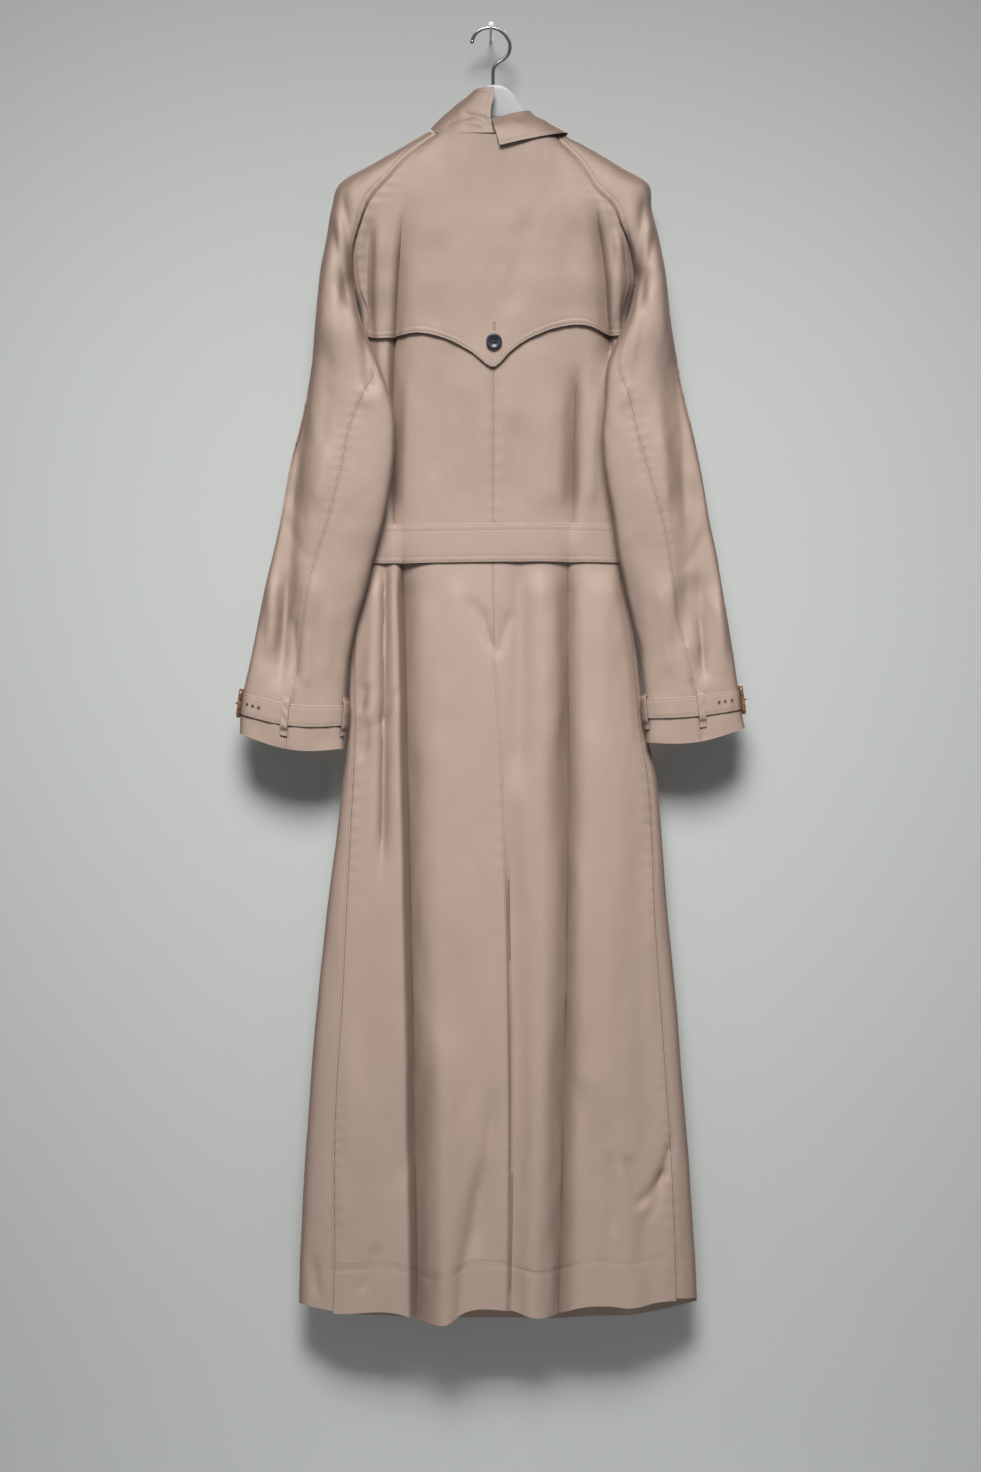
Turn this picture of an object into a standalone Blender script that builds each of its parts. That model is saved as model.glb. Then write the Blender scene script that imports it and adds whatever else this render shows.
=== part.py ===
# Trench coat on a hanger and a wall nail, seen from behind.
# Metres, +Z up. The nail enters the wall at the origin, the wall is the plane y = 0,
# and the coat hangs on its -Y side with its back to -Y. Left and right are as a viewer
# who faces the coat's back sees them. Tables hold millimetres.
import math

import bmesh
import bpy
import numpy as np

MM = 0.001

# Driving dimensions, millimetres
CLOTH = 1.6                 # cloth wall
SEAM = 0.3                  # gap between pieces at a seam
SEAM_SLACK = 0.06           # added to half a seam's gap, for curved seams
CORNER_GAPS = (0.75, 0.25, 0.1)  # added at the underarm, just below it and at the neck
HANGER_Y = -34.0            # middle plane of hanger and hook
SIDE_Y = -35.0              # where back and front meet at the body's sides
BELT_WIDTH = 44.0
BELT_WALL = 2.0
BELT_BUCKLE = (50.0, 60.0)  # across, high
BELT_BUCKLE_X = 8.0
BELT_BAR = 2.5              # radius of its bar
BELT_Z = -582.0
BELT_CLEAR = 0.5            # between belt and coat
BELT_HOLD = (60.0, 26.0)    # folds fade from this far above or below the belt to this far
CENTRE_BACK_X = 3.7
VENT_TOP_Z = -696.0
VENT_LAP = 34.0
LAP_DEPTH = 2.4             # how far an under layer lies inside the upper one
HEM_Z = -1450.0
HEM_SWING_Z = -1280.0       # the hem's swing fades out up to here
FRONT_HEM_DROP = 22.0       # the front hem hangs lower than the back hem
STRAP_WALL = 1.6
YOKE_BUTTON = (18.0, 3.4)   # diameter, thickness
YOKE_BUTTON_PLACE = (4.0, -355.0)  # x, z
FRONT_BUTTON = (24.0, 3.6)
FRONT_BUTTON_X = (-44.0, 62.0)
FRONT_BUTTON_Z = (-305.0, -430.0, -690.0, -820.0)
YOKE_BUTTON_CLEAR = 2.0     # its foot stands this far off the yoke's seat
FRONT_BUTTON_CLEAR = 0.35
BUTTON_RIM = ((0, 0.72), (0.2, 1), (0.75, 1), (1, 0.86), (1, 0.72), (0.62, 0.55))  # of its size
UNDERARM_ROW = 7            # the row where body and sleeves part
UNDERARM_Z = -289.0

# Arms. A row is one section, from the shoulder line or outer edge to the raglan seam,
# and below the underarm to the inner edge. back and front are how far the two walls
# bulge, seam is how far across the back of the sleeve its lower seam lies.
ARM_COLUMNS = "outer_x outer_z inner_x inner_z outer_y inner_back inner_front back front sag seam".split()
ARM_LEFT = (
    (-70, -113, -60, -118, -34, -44, -24, 0, 0, 0, 1.0),
    (-96, -128, -90, -142, -34, -52, -22, 1, 1, 0, 1.0),
    (-130, -148, -116, -171, -34, -57, -19, 2, 2, 0, 1.0),
    (-170, -171, -134, -191, -34, -58, -18, 4, 3, 0, 1.0),
    (-180, -199, -145, -212, -36, -56, -20, 10, 6, 0, 1.0),
    (-186, -234, -155, -243, -38, -50, -24, 18, 10, 0, 1.0),
    (-193, -270, -157, -270, -39, -42, -30, 26, 14, 0, 1.0),
    (-196, -300, -155, -293, -40, -35, -35, 30, 16, 0, 1.0),
    (-199, -335, -149, -325, -42, -50, -50, 30, 8, 0, 0.99),
    (-202, -375, -128, -379, -44, -57, -57, 24, 6, 0, 0.94),
    (-208, -412, -113, -420, -45, -61, -61, 21, 7, 0, 0.66),
    (-217, -452, -109, -455, -46, -62, -62, 20, 7, 0, 0.53),
    (-228, -498, -112, -500, -46, -62, -62, 20, 7, 0, 0.51),
    (-238, -556, -122, -558, -46, -60, -60, 20, 8, 0, 0.47),
    (-246, -593, -131, -593, -46, -57, -57, 19, 8, 0, 0.44),
    (-255, -630, -141, -632, -46, -54, -54, 19, 8, 0, 0.43),
    (-263, -670, -153, -674, -46, -52, -52, 18, 9, 0, 0.46),
    (-270, -707, -161, -712, -47, -50, -50, 17, 11, 0, 0.49),
    (-277, -738, -164, -746, -48, -49, -49, 17, 13, 3, 0.49),
    (-280, -752, -165, -766, -48, -49, -49, 17, 14, 6, 0.49),
    (-283, -776, -167, -789, -48, -49, -49, 17, 14, 7, 0.46),
    (-284, -798, -167, -815, -48, -49, -49, 16, 14, 10, 0.45),
)
ARM_RIGHT = (
    (82, -116, 73, -122, -34, -44, -25, 0, 0, 0, 1.0),
    (112, -131, 100, -152, -34, -52, -22, 1, 1, 0, 1.0),
    (147, -152, 118, -181, -34, -57, -19, 2, 2, 0, 1.0),
    (179, -172, 139, -202, -34, -58, -18, 4, 3, 0, 1.0),
    (183, -201, 148, -222, -36, -56, -20, 10, 6, 0, 1.0),
    (191, -234, 157, -240, -38, -50, -24, 18, 10, 0, 1.0),
    (198, -270, 163, -262, -39, -42, -30, 26, 14, 0, 1.0),
    (201, -296, 165, -285, -40, -35, -35, 30, 16, 0, 1.0),
    (205, -335, 158, -322, -42, -50, -50, 30, 8, 0, 0.97),
    (212, -376, 134, -378, -44, -57, -57, 24, 6, 0, 0.86),
    (219, -412, 130, -420, -45, -61, -61, 21, 7, 0, 0.70),
    (228, -450, 127, -460, -46, -62, -62, 20, 7, 0, 0.62),
    (238, -498, 130, -498, -46, -62, -62, 20, 7, 0, 0.56),
    (248, -556, 140, -557, -46, -60, -60, 20, 8, 0, 0.50),
    (256, -593, 145, -592, -46, -57, -57, 19, 8, 0, 0.49),
    (262, -630, 153, -630, -46, -54, -54, 19, 8, 0, 0.50),
    (269, -670, 163, -672, -46, -52, -52, 18, 9, 0, 0.53),
    (275, -707, 171, -705, -47, -50, -50, 17, 11, 0, 0.52),
    (279, -737, 174, -745, -48, -49, -49, 17, 13, 1, 0.48),
    (281, -749, 175, -759, -48, -49, -49, 17, 14, 2, 0.47),
    (284, -771, 177, -781, -48, -49, -49, 17, 14, 3, 0.46),
    (288, -792, 177, -808, -48, -49, -49, 16, 14, 8, 0.45),
)

# Body above the underarm. A row is one section between the raglan seams. round is the
# power of the section's rounding, drop is how far the front neckline lies lower.
CHEST_COLUMNS = "back front round drop lap".split()
CHEST = (
    (-62, -14, 0.50, 34, 30),
    (-63, -13, 0.80, 26, 42),
    (-64, -12, 0.90, 16, 56),
    (-65, -12, 0.90, 8, 68),
    (-66, -12, 0.90, 3, 76),
    (-66.5, -12, 0.80, 0, 80),
    (-67, -12, 0.65, 0, 80),
    (-67, -12, 0.50, 0, 80),
)

# Body below the underarm: the edges and depth of each section. square makes it flatter,
# and the two seam columns say how far in from the edge, on the back, a side seam lies.
SKIRT_COLUMNS = "z left right back front square left_seam right_seam".split()
SKIRT = (
    (-318, -147, 155, -66, -12, 1.8, 1, 1),
    (-345, -146, 154, -65, -12, 1.7, 1, 1),
    (-385, -146, 153, -64, -12, 1.7, 1, 1),
    (-430, -145, 152, -63, -12, 1.7, 2, 2),
    (-480, -145, 151, -61, -12, 1.7, 2, 2),
    (-525, -144, 149, -59, -14, 1.8, 2, 2),
    (-560, -142, 147, -58, -16, 1.9, 2, 2),
    (-582, -141, 146, -58, -16, 1.9, 2, 2),
    (-605, -143, 148, -58, -16, 1.9, 2, 2),
    (-640, -150, 154, -60, -14, 1.9, 3, 2),
    (-682, -158, 163, -62, -12, 1.9, 4, 3),
    (-735, -160, 169, -64, -12, 1.9, 5, 4),
    (-790, -163, 176, -65, -12, 2.0, 9, 6),
    (-850, -168, 188, -66, -12, 2.0, 12, 9),
    (-925, -176, 195, -67, -12, 2.0, 16, 11),
    (-1010, -187, 202, -69, -12, 2.1, 23, 15),
    (-1100, -196, 210, -70, -12, 2.1, 28, 17),
    (-1190, -204, 217, -71, -12, 2.2, 30, 18),
    (-1280, -211, 225, -72, -12, 2.2, 34, 20),
    (-1370, -215, 231, -73, -12, 2.3, 38, 22),
    (-1450, -218, 235, -74, -12, 2.3, 40, 24),
)

# Lower edge of the vent's upper side, the centre back line
VENT_COLUMNS = "z x".split()
VENT = ((-696, 3.7), (-750, 8), (-813, 12), (-905, 15), (-985, 18), (-1065, 20), (-1196, 22),
        (-1330, 21), (-1460, 19))

# Back hem: how it swings along its width
HEM_COLUMNS = "x z".split()
HEM = ((-218, -1449), (-180, -1455), (-105, -1454), (-72, -1464), (-48, -1465), (-34, -1455),
       (18, -1450), (58, -1459), (80, -1454), (101, -1447), (122, -1445), (161, -1448),
       (196, -1442), (235, -1443))

# Yoke hem: two scallops and a point under the button
YOKE_COLUMNS = "x z".split()
YOKE = ((-150, -341), (-126, -350), (-104, -347), (-84, -344), (-52, -351), (-20, -368),
        (5, -383), (22, -367), (50, -348), (80, -338), (108, -336), (132, -345), (155, -344))

# Folds of the back. A path through three points; height is + for a ridge, - for a valley
FOLD_COLUMNS = "z1 x1 z2 x2 z3 x3 width height".split()
FOLD_ENDS = (0.28, 0.78)    # the parts of its length where a fold has its full height
HEM_FOLD_START = 0.16       # the same for a fold that goes on to the hem
BACK_FOLDS = (
    (-205, -133, -260, -135, -345, -134, 10, -3.4),
    (-205, -120, -270, -122, -420, -122, 12, 4.6),
    (-205, -102, -300, -104, -560, -106, 15, -6),
    (-205, 136, -270, 132, -345, 127, 11, -5.6),
    (-215, 150, -280, 143, -345, 138, 10, 3.6),
    (-378, 102, -450, 98, -560, 93, 14, -6),
    (-430, 30, -490, 31, -560, 31, 11, -4),
    (-400, -28, -480, -28, -560, -28, 14, -3),
    (-400, 63, -480, 63, -560, 62, 14, -3),
    (-600, -115, -760, -114, -930, -110, 12, -7),
    (-600, -88, -1000, -91, -1470, -74, 13, -9),
    (-1100, -50, -1300, -49, -1480, -48, 18, 8),
    (-605, 19, -760, 31, -905, 26, 11, -5),
    (-605, 55, -1000, 56, -1480, 42, 19, 7),
    (-600, 86, -1000, 87, -1480, 76, 17, -10),
    (-620, 126, -1000, 132, -1480, 140, 28, 6),
)
FRONT_FOLDS = (
    (-600, 140, -1000, 150, -1480, 160, 18, -7),
    (-600, -132, -1000, -142, -1480, -152, 18, -7),
)
ARM_LEFT_FOLDS = (
    (-176, -171, -235, -166, -305, -156, 6, -6),
    (-420, -209, -560, -213, -705, -222, 11, 4),
    (-480, -190, -600, -204, -740, -214, 10, -4),
)
ARM_RIGHT_FOLDS = (
    (-176, 177, -235, 171, -282, 166, 6, -6),
    (-340, 204, -450, 211, -580, 218, 10, -4),
    (-420, 224, -560, 238, -700, 250, 12, 4),
)

# Collar: points of its two halves at the centre back, the side and the centre front.
# seam is the neck seam, top the standing half's edge, fold and edge the folded half's.
NECK_SEAM = {"left": ((3.4, -62, -119), (-67.5, -34, -111), (9, -14, -153)),
             "right": ((4.0, -62, -119), (80.5, -34, -113.5), (9.6, -14, -153))}
COLLAR_TOP = ((4, -46, -63), (-19, -34, -66), (5, -22, -98))
COLLAR_FOLD = ((1.4, -51.5, -99.5), (45, -34, -88.5), (9, -22, -131))
COLLAR_EDGE = ((10.6, -69.5, -133), (88, -34, -114.5), (16, -8.5, -166))
COLLAR_CLEAR = (1.3, 2.4)   # over the neck seam, and more towards the front
COLLAR_BOW = (2.0, 5.0)     # how far the standing and the folded half bulge
COLLAR_SLANT = -3.9         # the standing half's end bends aside by this much
COLLAR_ROLL = (1.4, 1.8)    # half the fold's thickness, and its height

# Hanger: its upper edge from the middle outwards
HANGER_MIDDLE_X = 5.5
# offset from the middle, upper edge, depth straight down: the middle is a solid web
HANGER_EDGE = ((0, -58.8, 38), (8, -59.8, 38), (14, -63, 37), (20, -69, 35), (27, -79.5, 31), (34, -91.5, 26),
               (42, -102, 21), (75, -118.6, 17), (107, -134.4, 17), (141, -154.2, 17), (172, -173.6, 17))
HANGER_WALL = 8.0
HANGER_EASE = 2.2           # its edges are cut off by this much

# Hook: the middle of its wire, from the tip over the nail to the hanger
HOOK = ((-21.0, -9.5), (-19.5, -4.5), (-15.5, 1.0), (-9.0, 5.0), (0.4, 6.6), (9.5, 4.2), (16.5, -1.5),
        (21.0, -8.5), (22.2, -16.0), (20.0, -24.0), (14.0, -30.0), (7.5, -34.5), (3.8, -39.5),
        (2.9, -46.0), (2.9, -58.4))
WIRE = 3.8                  # diameter
NAIL = (2.6, 6.4, 60.0, 5.6)  # shank, head, length, rise of the head above the wall end
NAIL_LEAN = 0.8             # how far the head lies to the right of the wall end
NAIL_HEAD = (1.6, 1.5, 0.5, 0.6)  # from the tip: under side, rim's start, rim's end, bevel


def column(table, columns, name):
    return np.array([row[columns.index(name)] for row in table], dtype=float)


def smooth(keys, values, at):
    """A soft curve through the values; keys may rise or fall."""
    keys = np.asarray(keys, dtype=float)
    values = np.asarray(values, dtype=float)
    if keys[0] > keys[-1]:
        keys = keys[::-1]
        values = values[::-1]
    at = np.clip(np.asarray(at, dtype=float), keys[0], keys[-1])
    index = np.clip(np.searchsorted(keys, at) - 1, 0, len(keys) - 2)
    slope = np.gradient(values, keys)
    length = keys[index + 1] - keys[index]
    part = (at - keys[index]) / length
    rise = part * part * (3 - 2 * part)
    start = part * (1 - part) ** 2 * length * slope[index]
    end = part * part * (part - 1) * length * slope[index + 1]
    return values[index] * (1 - rise) + values[index + 1] * rise + start + end


def ease(low, high, at):
    part = np.clip((np.asarray(at, dtype=float) - low) / (high - low), 0, 1)
    return part * part * (3 - 2 * part)


def mix(a, b, part):
    return a + (b - a) * part


def arm(side, row):
    """All columns of an arm's section at a row, which may lie between two rows."""
    table = ARM_LEFT if side == "left" else ARM_RIGHT
    rows = np.arange(len(table))
    return {name: smooth(rows, column(table, ARM_COLUMNS, name), row) for name in ARM_COLUMNS}


def body_column(name, row):
    """A column of the body's section, joined from the chest's and the skirt's tables."""
    chest_rows = np.arange(UNDERARM_ROW + 1)
    skirt = {key: column(SKIRT, SKIRT_COLUMNS, key) for key in SKIRT_COLUMNS}
    if name in ("left", "right"):
        top = arm(name, chest_rows)["inner_x"]
        values = np.concatenate((top, skirt[name]))
    elif name in ("left_z", "right_z"):
        top = arm(name[:-2], chest_rows)["inner_z"]
        values = np.concatenate((top, skirt["z"]))
    elif name in ("back", "front"):
        values = np.concatenate((column(CHEST, CHEST_COLUMNS, name), skirt[name]))
    elif name in ("left_edge_y", "right_edge_y"):
        top = arm(name[:-7], chest_rows)["inner_back"]
        values = np.concatenate((top, np.full(len(SKIRT), SIDE_Y)))
    elif name in ("left_front_y", "right_front_y"):
        top = arm(name[:-8], chest_rows)["inner_front"]
        values = np.concatenate((top, np.full(len(SKIRT), SIDE_Y)))
    elif name == "square":
        values = np.concatenate((np.full(UNDERARM_ROW + 1, 2.0), skirt["square"]))
    elif name == "round":
        values = np.concatenate((column(CHEST, CHEST_COLUMNS, "round"), 1 / skirt["square"]))
    elif name in ("left_seam", "right_seam"):
        values = np.concatenate((np.zeros(UNDERARM_ROW + 1), skirt[name]))
    elif name in ("drop", "lap"):
        last = CHEST[-1][CHEST_COLUMNS.index(name)]
        values = np.concatenate((column(CHEST, CHEST_COLUMNS, name), np.full(len(SKIRT), last)))
    return smooth(np.arange(len(values)), values, row)


LAST_ROW = UNDERARM_ROW + len(SKIRT)


def row_at(z):
    """The body row at a height below the underarm."""
    heights = np.concatenate(([UNDERARM_Z], column(SKIRT, SKIRT_COLUMNS, "z")))
    return UNDERARM_ROW + np.interp(-z, -heights, np.arange(len(heights)))


def fold_height(folds, x, z):
    """How far the cloth stands out at a place, summed over the folds that cross it."""
    total = np.zeros_like(np.asarray(x, dtype=float))
    for row in folds:
        fold = dict(zip(FOLD_COLUMNS, row))
        length = fold["z1"] - fold["z3"]
        part = np.clip((fold["z1"] - z) / length, 0, 1)
        middle = (fold["z1"] - fold["z2"]) / length
        first = (part - middle) * (part - 1) / middle
        second = part * (part - 1) / (middle * (middle - 1))
        third = part * (part - middle) / (1 - middle)
        path = fold["x1"] * first + fold["x2"] * second + fold["x3"] * third
        fade = ease(0, FOLD_ENDS[0], part) * ease(1, FOLD_ENDS[1], part)
        if fold["z3"] < HEM_Z:
            fade = ease(0, HEM_FOLD_START, part)
        fade = fade * ((z <= fold["z1"]) & (z >= fold["z3"]))
        total = total + fold["height"] * fade * np.exp(-((x - path) / fold["width"]) ** 2)
    belted = 1 - 0.8 * ease(*BELT_HOLD, np.abs(z - BELT_Z))
    return total * belted


def vent_x(z):
    below = smooth(column(VENT, VENT_COLUMNS, "z"), column(VENT, VENT_COLUMNS, "x"), z)
    return np.where(z > VENT_TOP_Z, CENTRE_BACK_X, below)


def body_point(row, x, side):
    """A point of the body's middle surface, on the back or front, as x, y, z arrays."""
    left = body_column("left", row)
    right = body_column("right", row)
    across = np.clip((x - left) / (right - left), 0, 1)
    if side == "back":
        edge = mix(body_column("left_edge_y", row), body_column("right_edge_y", row), across)
        middle = body_column("back", row)
    else:
        edge = mix(body_column("left_front_y", row), body_column("right_front_y", row), across)
        middle = body_column("front", row)
    bow = (1 - np.abs(2 * across - 1) ** body_column("square", row)) ** body_column("round", row)
    z = mix(body_column("left_z", row), body_column("right_z", row), across)
    hem = ease(HEM_SWING_Z, HEM_Z, z)
    if side == "back":
        swing = smooth(column(HEM, HEM_COLUMNS, "x"), column(HEM, HEM_COLUMNS, "z"), x) - HEM_Z
        fold = -fold_height(BACK_FOLDS, x, z)
    else:
        swing = 2 - FRONT_HEM_DROP * (1 - np.abs(2 * across - 1) ** 4)
        fold = fold_height(FRONT_FOLDS, x, z)
        z = z - body_column("drop", row) * (1 - (2 * across - 1) ** 2)
    at_edge = ease(0, 0.05, across) * ease(1, 0.95, across)
    y = edge + (middle - edge) * bow + fold * at_edge
    return np.stack(np.broadcast_arrays(x, y, z + hem * swing), axis=-1)


def arm_point(side, row, turn, over=None):
    """A point of an arm's middle surface. turn runs 0 at the outer edge, over the back,
    half a circle at the raglan seam or inner edge, and on over the front. over tells
    back from front where a turn is on the line between them."""
    part = arm(side, row)
    across = (1 - np.cos(turn)) / 2
    tube = ease(3, UNDERARM_ROW, row)
    lean = mix(np.sqrt(across * (2 - across)), across, tube)
    bow = np.abs(np.sin(turn)) ** (1 - 0.25 * tube)
    if over is None:
        over = np.sin(turn) > 1e-9
    back = part["outer_y"] + (part["inner_back"] - part["outer_y"]) * lean - part["back"] * bow
    front = part["outer_y"] + (part["inner_front"] - part["outer_y"]) * lean + part["front"] * bow
    x = mix(part["outer_x"], part["inner_x"], across)
    z = mix(part["outer_z"], part["inner_z"], across) - part["sag"] * np.sin(math.pi * across)
    folds = ARM_LEFT_FOLDS if side == "left" else ARM_RIGHT_FOLDS
    back = back - fold_height(folds, x, z) * ease(0, 0.35, bow)
    return np.stack(np.broadcast_arrays(x, np.where(over, back, front), z), axis=-1)


def normals_of(grid, inside, first, last):
    """Unit normals of a sheet's grid, pointing away from the inside points, one for each
    row. first and last hold, for each row, the points just before and just after the
    sheet's two side edges, so that two sheets that share a seam share its normals."""
    along = np.empty_like(grid)
    along[:, 1:-1] = grid[:, 2:] - grid[:, :-2]
    along[:, 0] = first[:, 1] - first[:, 0]
    along[:, -1] = last[:, 1] - last[:, 0]
    along = along / np.maximum(np.linalg.norm(along, axis=2, keepdims=True), 1e-9)
    normal = np.cross(along, np.gradient(grid, axis=0))
    normal = normal / np.maximum(np.linalg.norm(normal, axis=2, keepdims=True), 1e-9)
    if np.mean(np.sum(normal * (grid - inside[:, None, :]), axis=2)) < 0:
        normal = -normal
    return normal


def pull_in(middle, first, last):
    """Moves a sheet's two side edges inwards, to leave the gap of a seam."""
    moved = middle.copy()
    for edge, near, gap in ((0, 1, first), (-1, -2, last)):
        step = middle[:, near] - middle[:, edge]
        tangent = np.gradient(middle[:, edge], axis=0)
        tangent = tangent / np.maximum(np.linalg.norm(tangent, axis=1, keepdims=True), 1e-9)
        step = step - tangent * np.sum(step * tangent, axis=1, keepdims=True)
        length = np.maximum(np.linalg.norm(step, axis=1, keepdims=True), 1e-9)
        gap = np.broadcast_to(np.asarray(gap, dtype=float).reshape(-1, 1), length.shape)
        moved[:, edge] += step / length * np.minimum(gap, length * 0.45)
    return moved


def material(name, colour, roughness, metallic=0.0):
    made = bpy.data.materials.get(name) or bpy.data.materials.new(name)
    made.use_nodes = True
    shader = made.node_tree.nodes["Principled BSDF"]
    shader.inputs["Base Color"].default_value = (*colour, 1.0)
    shader.inputs["Roughness"].default_value = roughness
    shader.inputs["Metallic"].default_value = metallic
    return made


def add_mesh(name, points, faces, finish, angle=40):
    mesh = bpy.data.meshes.new(name)
    mesh.from_pydata([tuple(float(value) * MM for value in point) for point in points], [], faces)
    work = bmesh.new()
    work.from_mesh(mesh)
    bmesh.ops.recalc_face_normals(work, faces=work.faces)
    work.to_mesh(mesh)
    work.free()
    mesh.materials.append(finish)
    mesh.shade_smooth()
    mesh.set_sharp_from_angle(angle=math.radians(angle))
    piece = bpy.data.objects.new(name, mesh)
    bpy.context.scene.collection.objects.link(piece)
    return piece


def add_sheet(name, middle, normal, wall, finish, turn_at=None):
    """A closed solid: the sheet moved out and in by half its wall, with its rim. Its
    triangles lean the other way from the column turn_at on, so that a sheet which lies
    over two others can be cut up as they are."""
    rows, columns = middle.shape[:2]
    outer = (middle + normal * wall / 2).reshape(-1, 3)
    inner = (middle - normal * wall / 2).reshape(-1, 3)
    count = rows * columns
    faces = []
    for r in range(rows - 1):
        for c in range(columns - 1):
            a = r * columns + c
            if turn_at is None or c < turn_at:
                halves = ((a, a + 1, a + columns + 1), (a, a + columns + 1, a + columns))
            else:
                halves = ((a, a + 1, a + columns), (a + 1, a + columns + 1, a + columns))
            for half in halves:
                faces.append(half)
                faces.append(tuple(index + count for index in reversed(half)))
    rim = [c for c in range(columns)]
    rim += [r * columns + columns - 1 for r in range(1, rows)]
    rim += [(rows - 1) * columns + c for c in range(columns - 2, -1, -1)]
    rim += [r * columns for r in range(rows - 2, 0, -1)]
    for index, start in enumerate(rim):
        end = rim[(index + 1) % len(rim)]
        faces.append((start, start + count, end + count, end))
    return add_mesh(name, np.concatenate((outer, inner)), faces, finish)


def add_tube(name, path, radius, finish, sides=8, tip=None):
    """A round bar along a path with flat ends; tip scales its last ring."""
    path = np.asarray(path, dtype=float)
    ahead = np.gradient(path, axis=0)
    ahead = ahead / np.linalg.norm(ahead, axis=1, keepdims=True)
    side = np.cross(ahead[0], (0.31, 0.17, 0.93))
    points = []
    for index, middle in enumerate(path):
        side = side - ahead[index] * np.dot(side, ahead[index])
        side = side / np.linalg.norm(side)
        up = np.cross(ahead[index], side)
        size = radius * (tip if tip and index == len(path) - 1 else 1.0)
        for corner in range(sides):
            turn = 2 * math.pi * corner / sides
            points.append(middle + size * (side * math.cos(turn) + up * math.sin(turn)))
    faces = []
    for index in range(len(path) - 1):
        for corner in range(sides):
            a = index * sides + corner
            b = index * sides + (corner + 1) % sides
            faces.append((a, b, b + sides, a + sides))
    faces.append(tuple(range(sides)))
    last = (len(path) - 1) * sides
    faces.append(tuple(range(last + sides - 1, last - 1, -1)))
    return add_mesh(name, points, faces, finish)


def add_frame(name, middle, across, up, size, radius, finish, corner=6.0, sides=8):
    """A closed round bar bent to a rectangle with round corners."""
    across = np.asarray(across, dtype=float)
    up = np.asarray(up, dtype=float)
    out = np.cross(across, up)
    half = (size[0] / 2 - radius - corner, size[1] / 2 - radius - corner)
    route = []
    for quarter, (sx, sy) in enumerate(((1, 1), (-1, 1), (-1, -1), (1, -1))):
        for step in range(4):
            turn = (quarter + step / 3) * math.pi / 2
            spot = (sx * half[0] + corner * math.cos(turn), sy * half[1] + corner * math.sin(turn))
            ray = (math.cos(turn), math.sin(turn))
            route.append((spot, ray))
    points = []
    for spot, ray in route:
        centre = np.asarray(middle) + across * spot[0] + up * spot[1]
        ray = across * ray[0] + up * ray[1]
        for index in range(sides):
            turn = 2 * math.pi * index / sides
            points.append(centre + radius * (ray * math.cos(turn) + out * math.sin(turn)))
    faces = []
    count = len(route)
    for index in range(count):
        for side in range(sides):
            a = index * sides + side
            b = index * sides + (side + 1) % sides
            c = (index + 1) % count * sides + (side + 1) % sides
            d = (index + 1) % count * sides + side
            faces.append((a, b, c, d))
    return add_mesh(name, points, faces, finish)


def add_turned(name, foot, axis, profile, finish, sides=20):
    """A turned piece: profile rows are distance along the axis and radius."""
    axis = np.asarray(axis, dtype=float)
    axis = axis / np.linalg.norm(axis)
    side = np.cross(axis, (0.12, 0.05, 0.99))
    side = side / np.linalg.norm(side)
    up = np.cross(axis, side)
    points = []
    for along, radius in profile:
        for index in range(sides):
            turn = 2 * math.pi * index / sides
            ray = side * math.cos(turn) + up * math.sin(turn)
            points.append(np.asarray(foot) + axis * along + ray * radius)
    faces = []
    for ring in range(len(profile) - 1):
        for index in range(sides):
            a = ring * sides + index
            b = ring * sides + (index + 1) % sides
            faces.append((a, b, b + sides, a + sides))
    faces.append(tuple(range(sides)))
    last = (len(profile) - 1) * sides
    faces.append(tuple(range(last + sides - 1, last - 1, -1)))
    return add_mesh(name, points, faces, finish)


def add_hanger(sections, finish):
    """The hanger's flat body with eased edges, from its sections' x, upper edge and depth."""
    half = HANGER_WALL / 2
    cut = HANGER_EASE
    slope = np.gradient([row[1] for row in sections], [row[0] for row in sections])
    points = []
    for (x, top, deep), steep in zip(sections, np.hypot(1, slope)):
        down = cut * steep
        ring = ((0.0, half - cut), (down, half), (deep - down, half), (deep, half - cut),
                (deep, cut - half), (deep - down, -half), (down, -half), (0.0, cut - half))
        for depth, side in ring:
            points.append((x, HANGER_Y + side, top - depth))
    faces = []
    sides = len(ring)
    for index in range(len(sections) - 1):
        for corner in range(sides):
            a = index * sides + corner
            b = index * sides + (corner + 1) % sides
            faces.append((a, b, b + sides, a + sides))
    faces.append(tuple(range(sides)))
    last = (len(sections) - 1) * sides
    faces.append(tuple(range(last + sides - 1, last - 1, -1)))
    add_mesh("hanger_body", points, faces, finish)


# The rows that the solids use, of all those in the tables
BODY_ROWS = [float(row) for row in range(LAST_ROW + 1) if row not in (10, 12, 19, 23)]
ARM_ROWS = [float(row) for row in range(len(ARM_LEFT)) if row not in (12, 16)]
BACK_COLUMNS = 17
ARM_BACK_COLUMNS = 9
ARM_FRONT_COLUMNS = 13
NEAR = 0.25                 # how far round an arm the points beside its seams lie


def seam_gap(rows):
    """Half a seam's gap for each row, wider where three pieces meet: neck and underarm."""
    rows = np.asarray(rows, dtype=float)
    corner = np.exp(-((rows - UNDERARM_ROW) / 0.8) ** 2)
    turned = np.exp(-((rows - UNDERARM_ROW - 2) / 1.2) ** 2)
    neck = np.exp(-rows ** 2)
    at_corner, below, at_neck = CORNER_GAPS
    return SEAM / 2 + SEAM_SLACK + at_corner * corner + below * turned + at_neck * neck


def body_middle(row):
    left = body_column("left", row)
    right = body_column("right", row)
    z = (body_column("left_z", row) + body_column("right_z", row)) / 2
    return np.array(((left + right) / 2, SIDE_Y, z))


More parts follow.
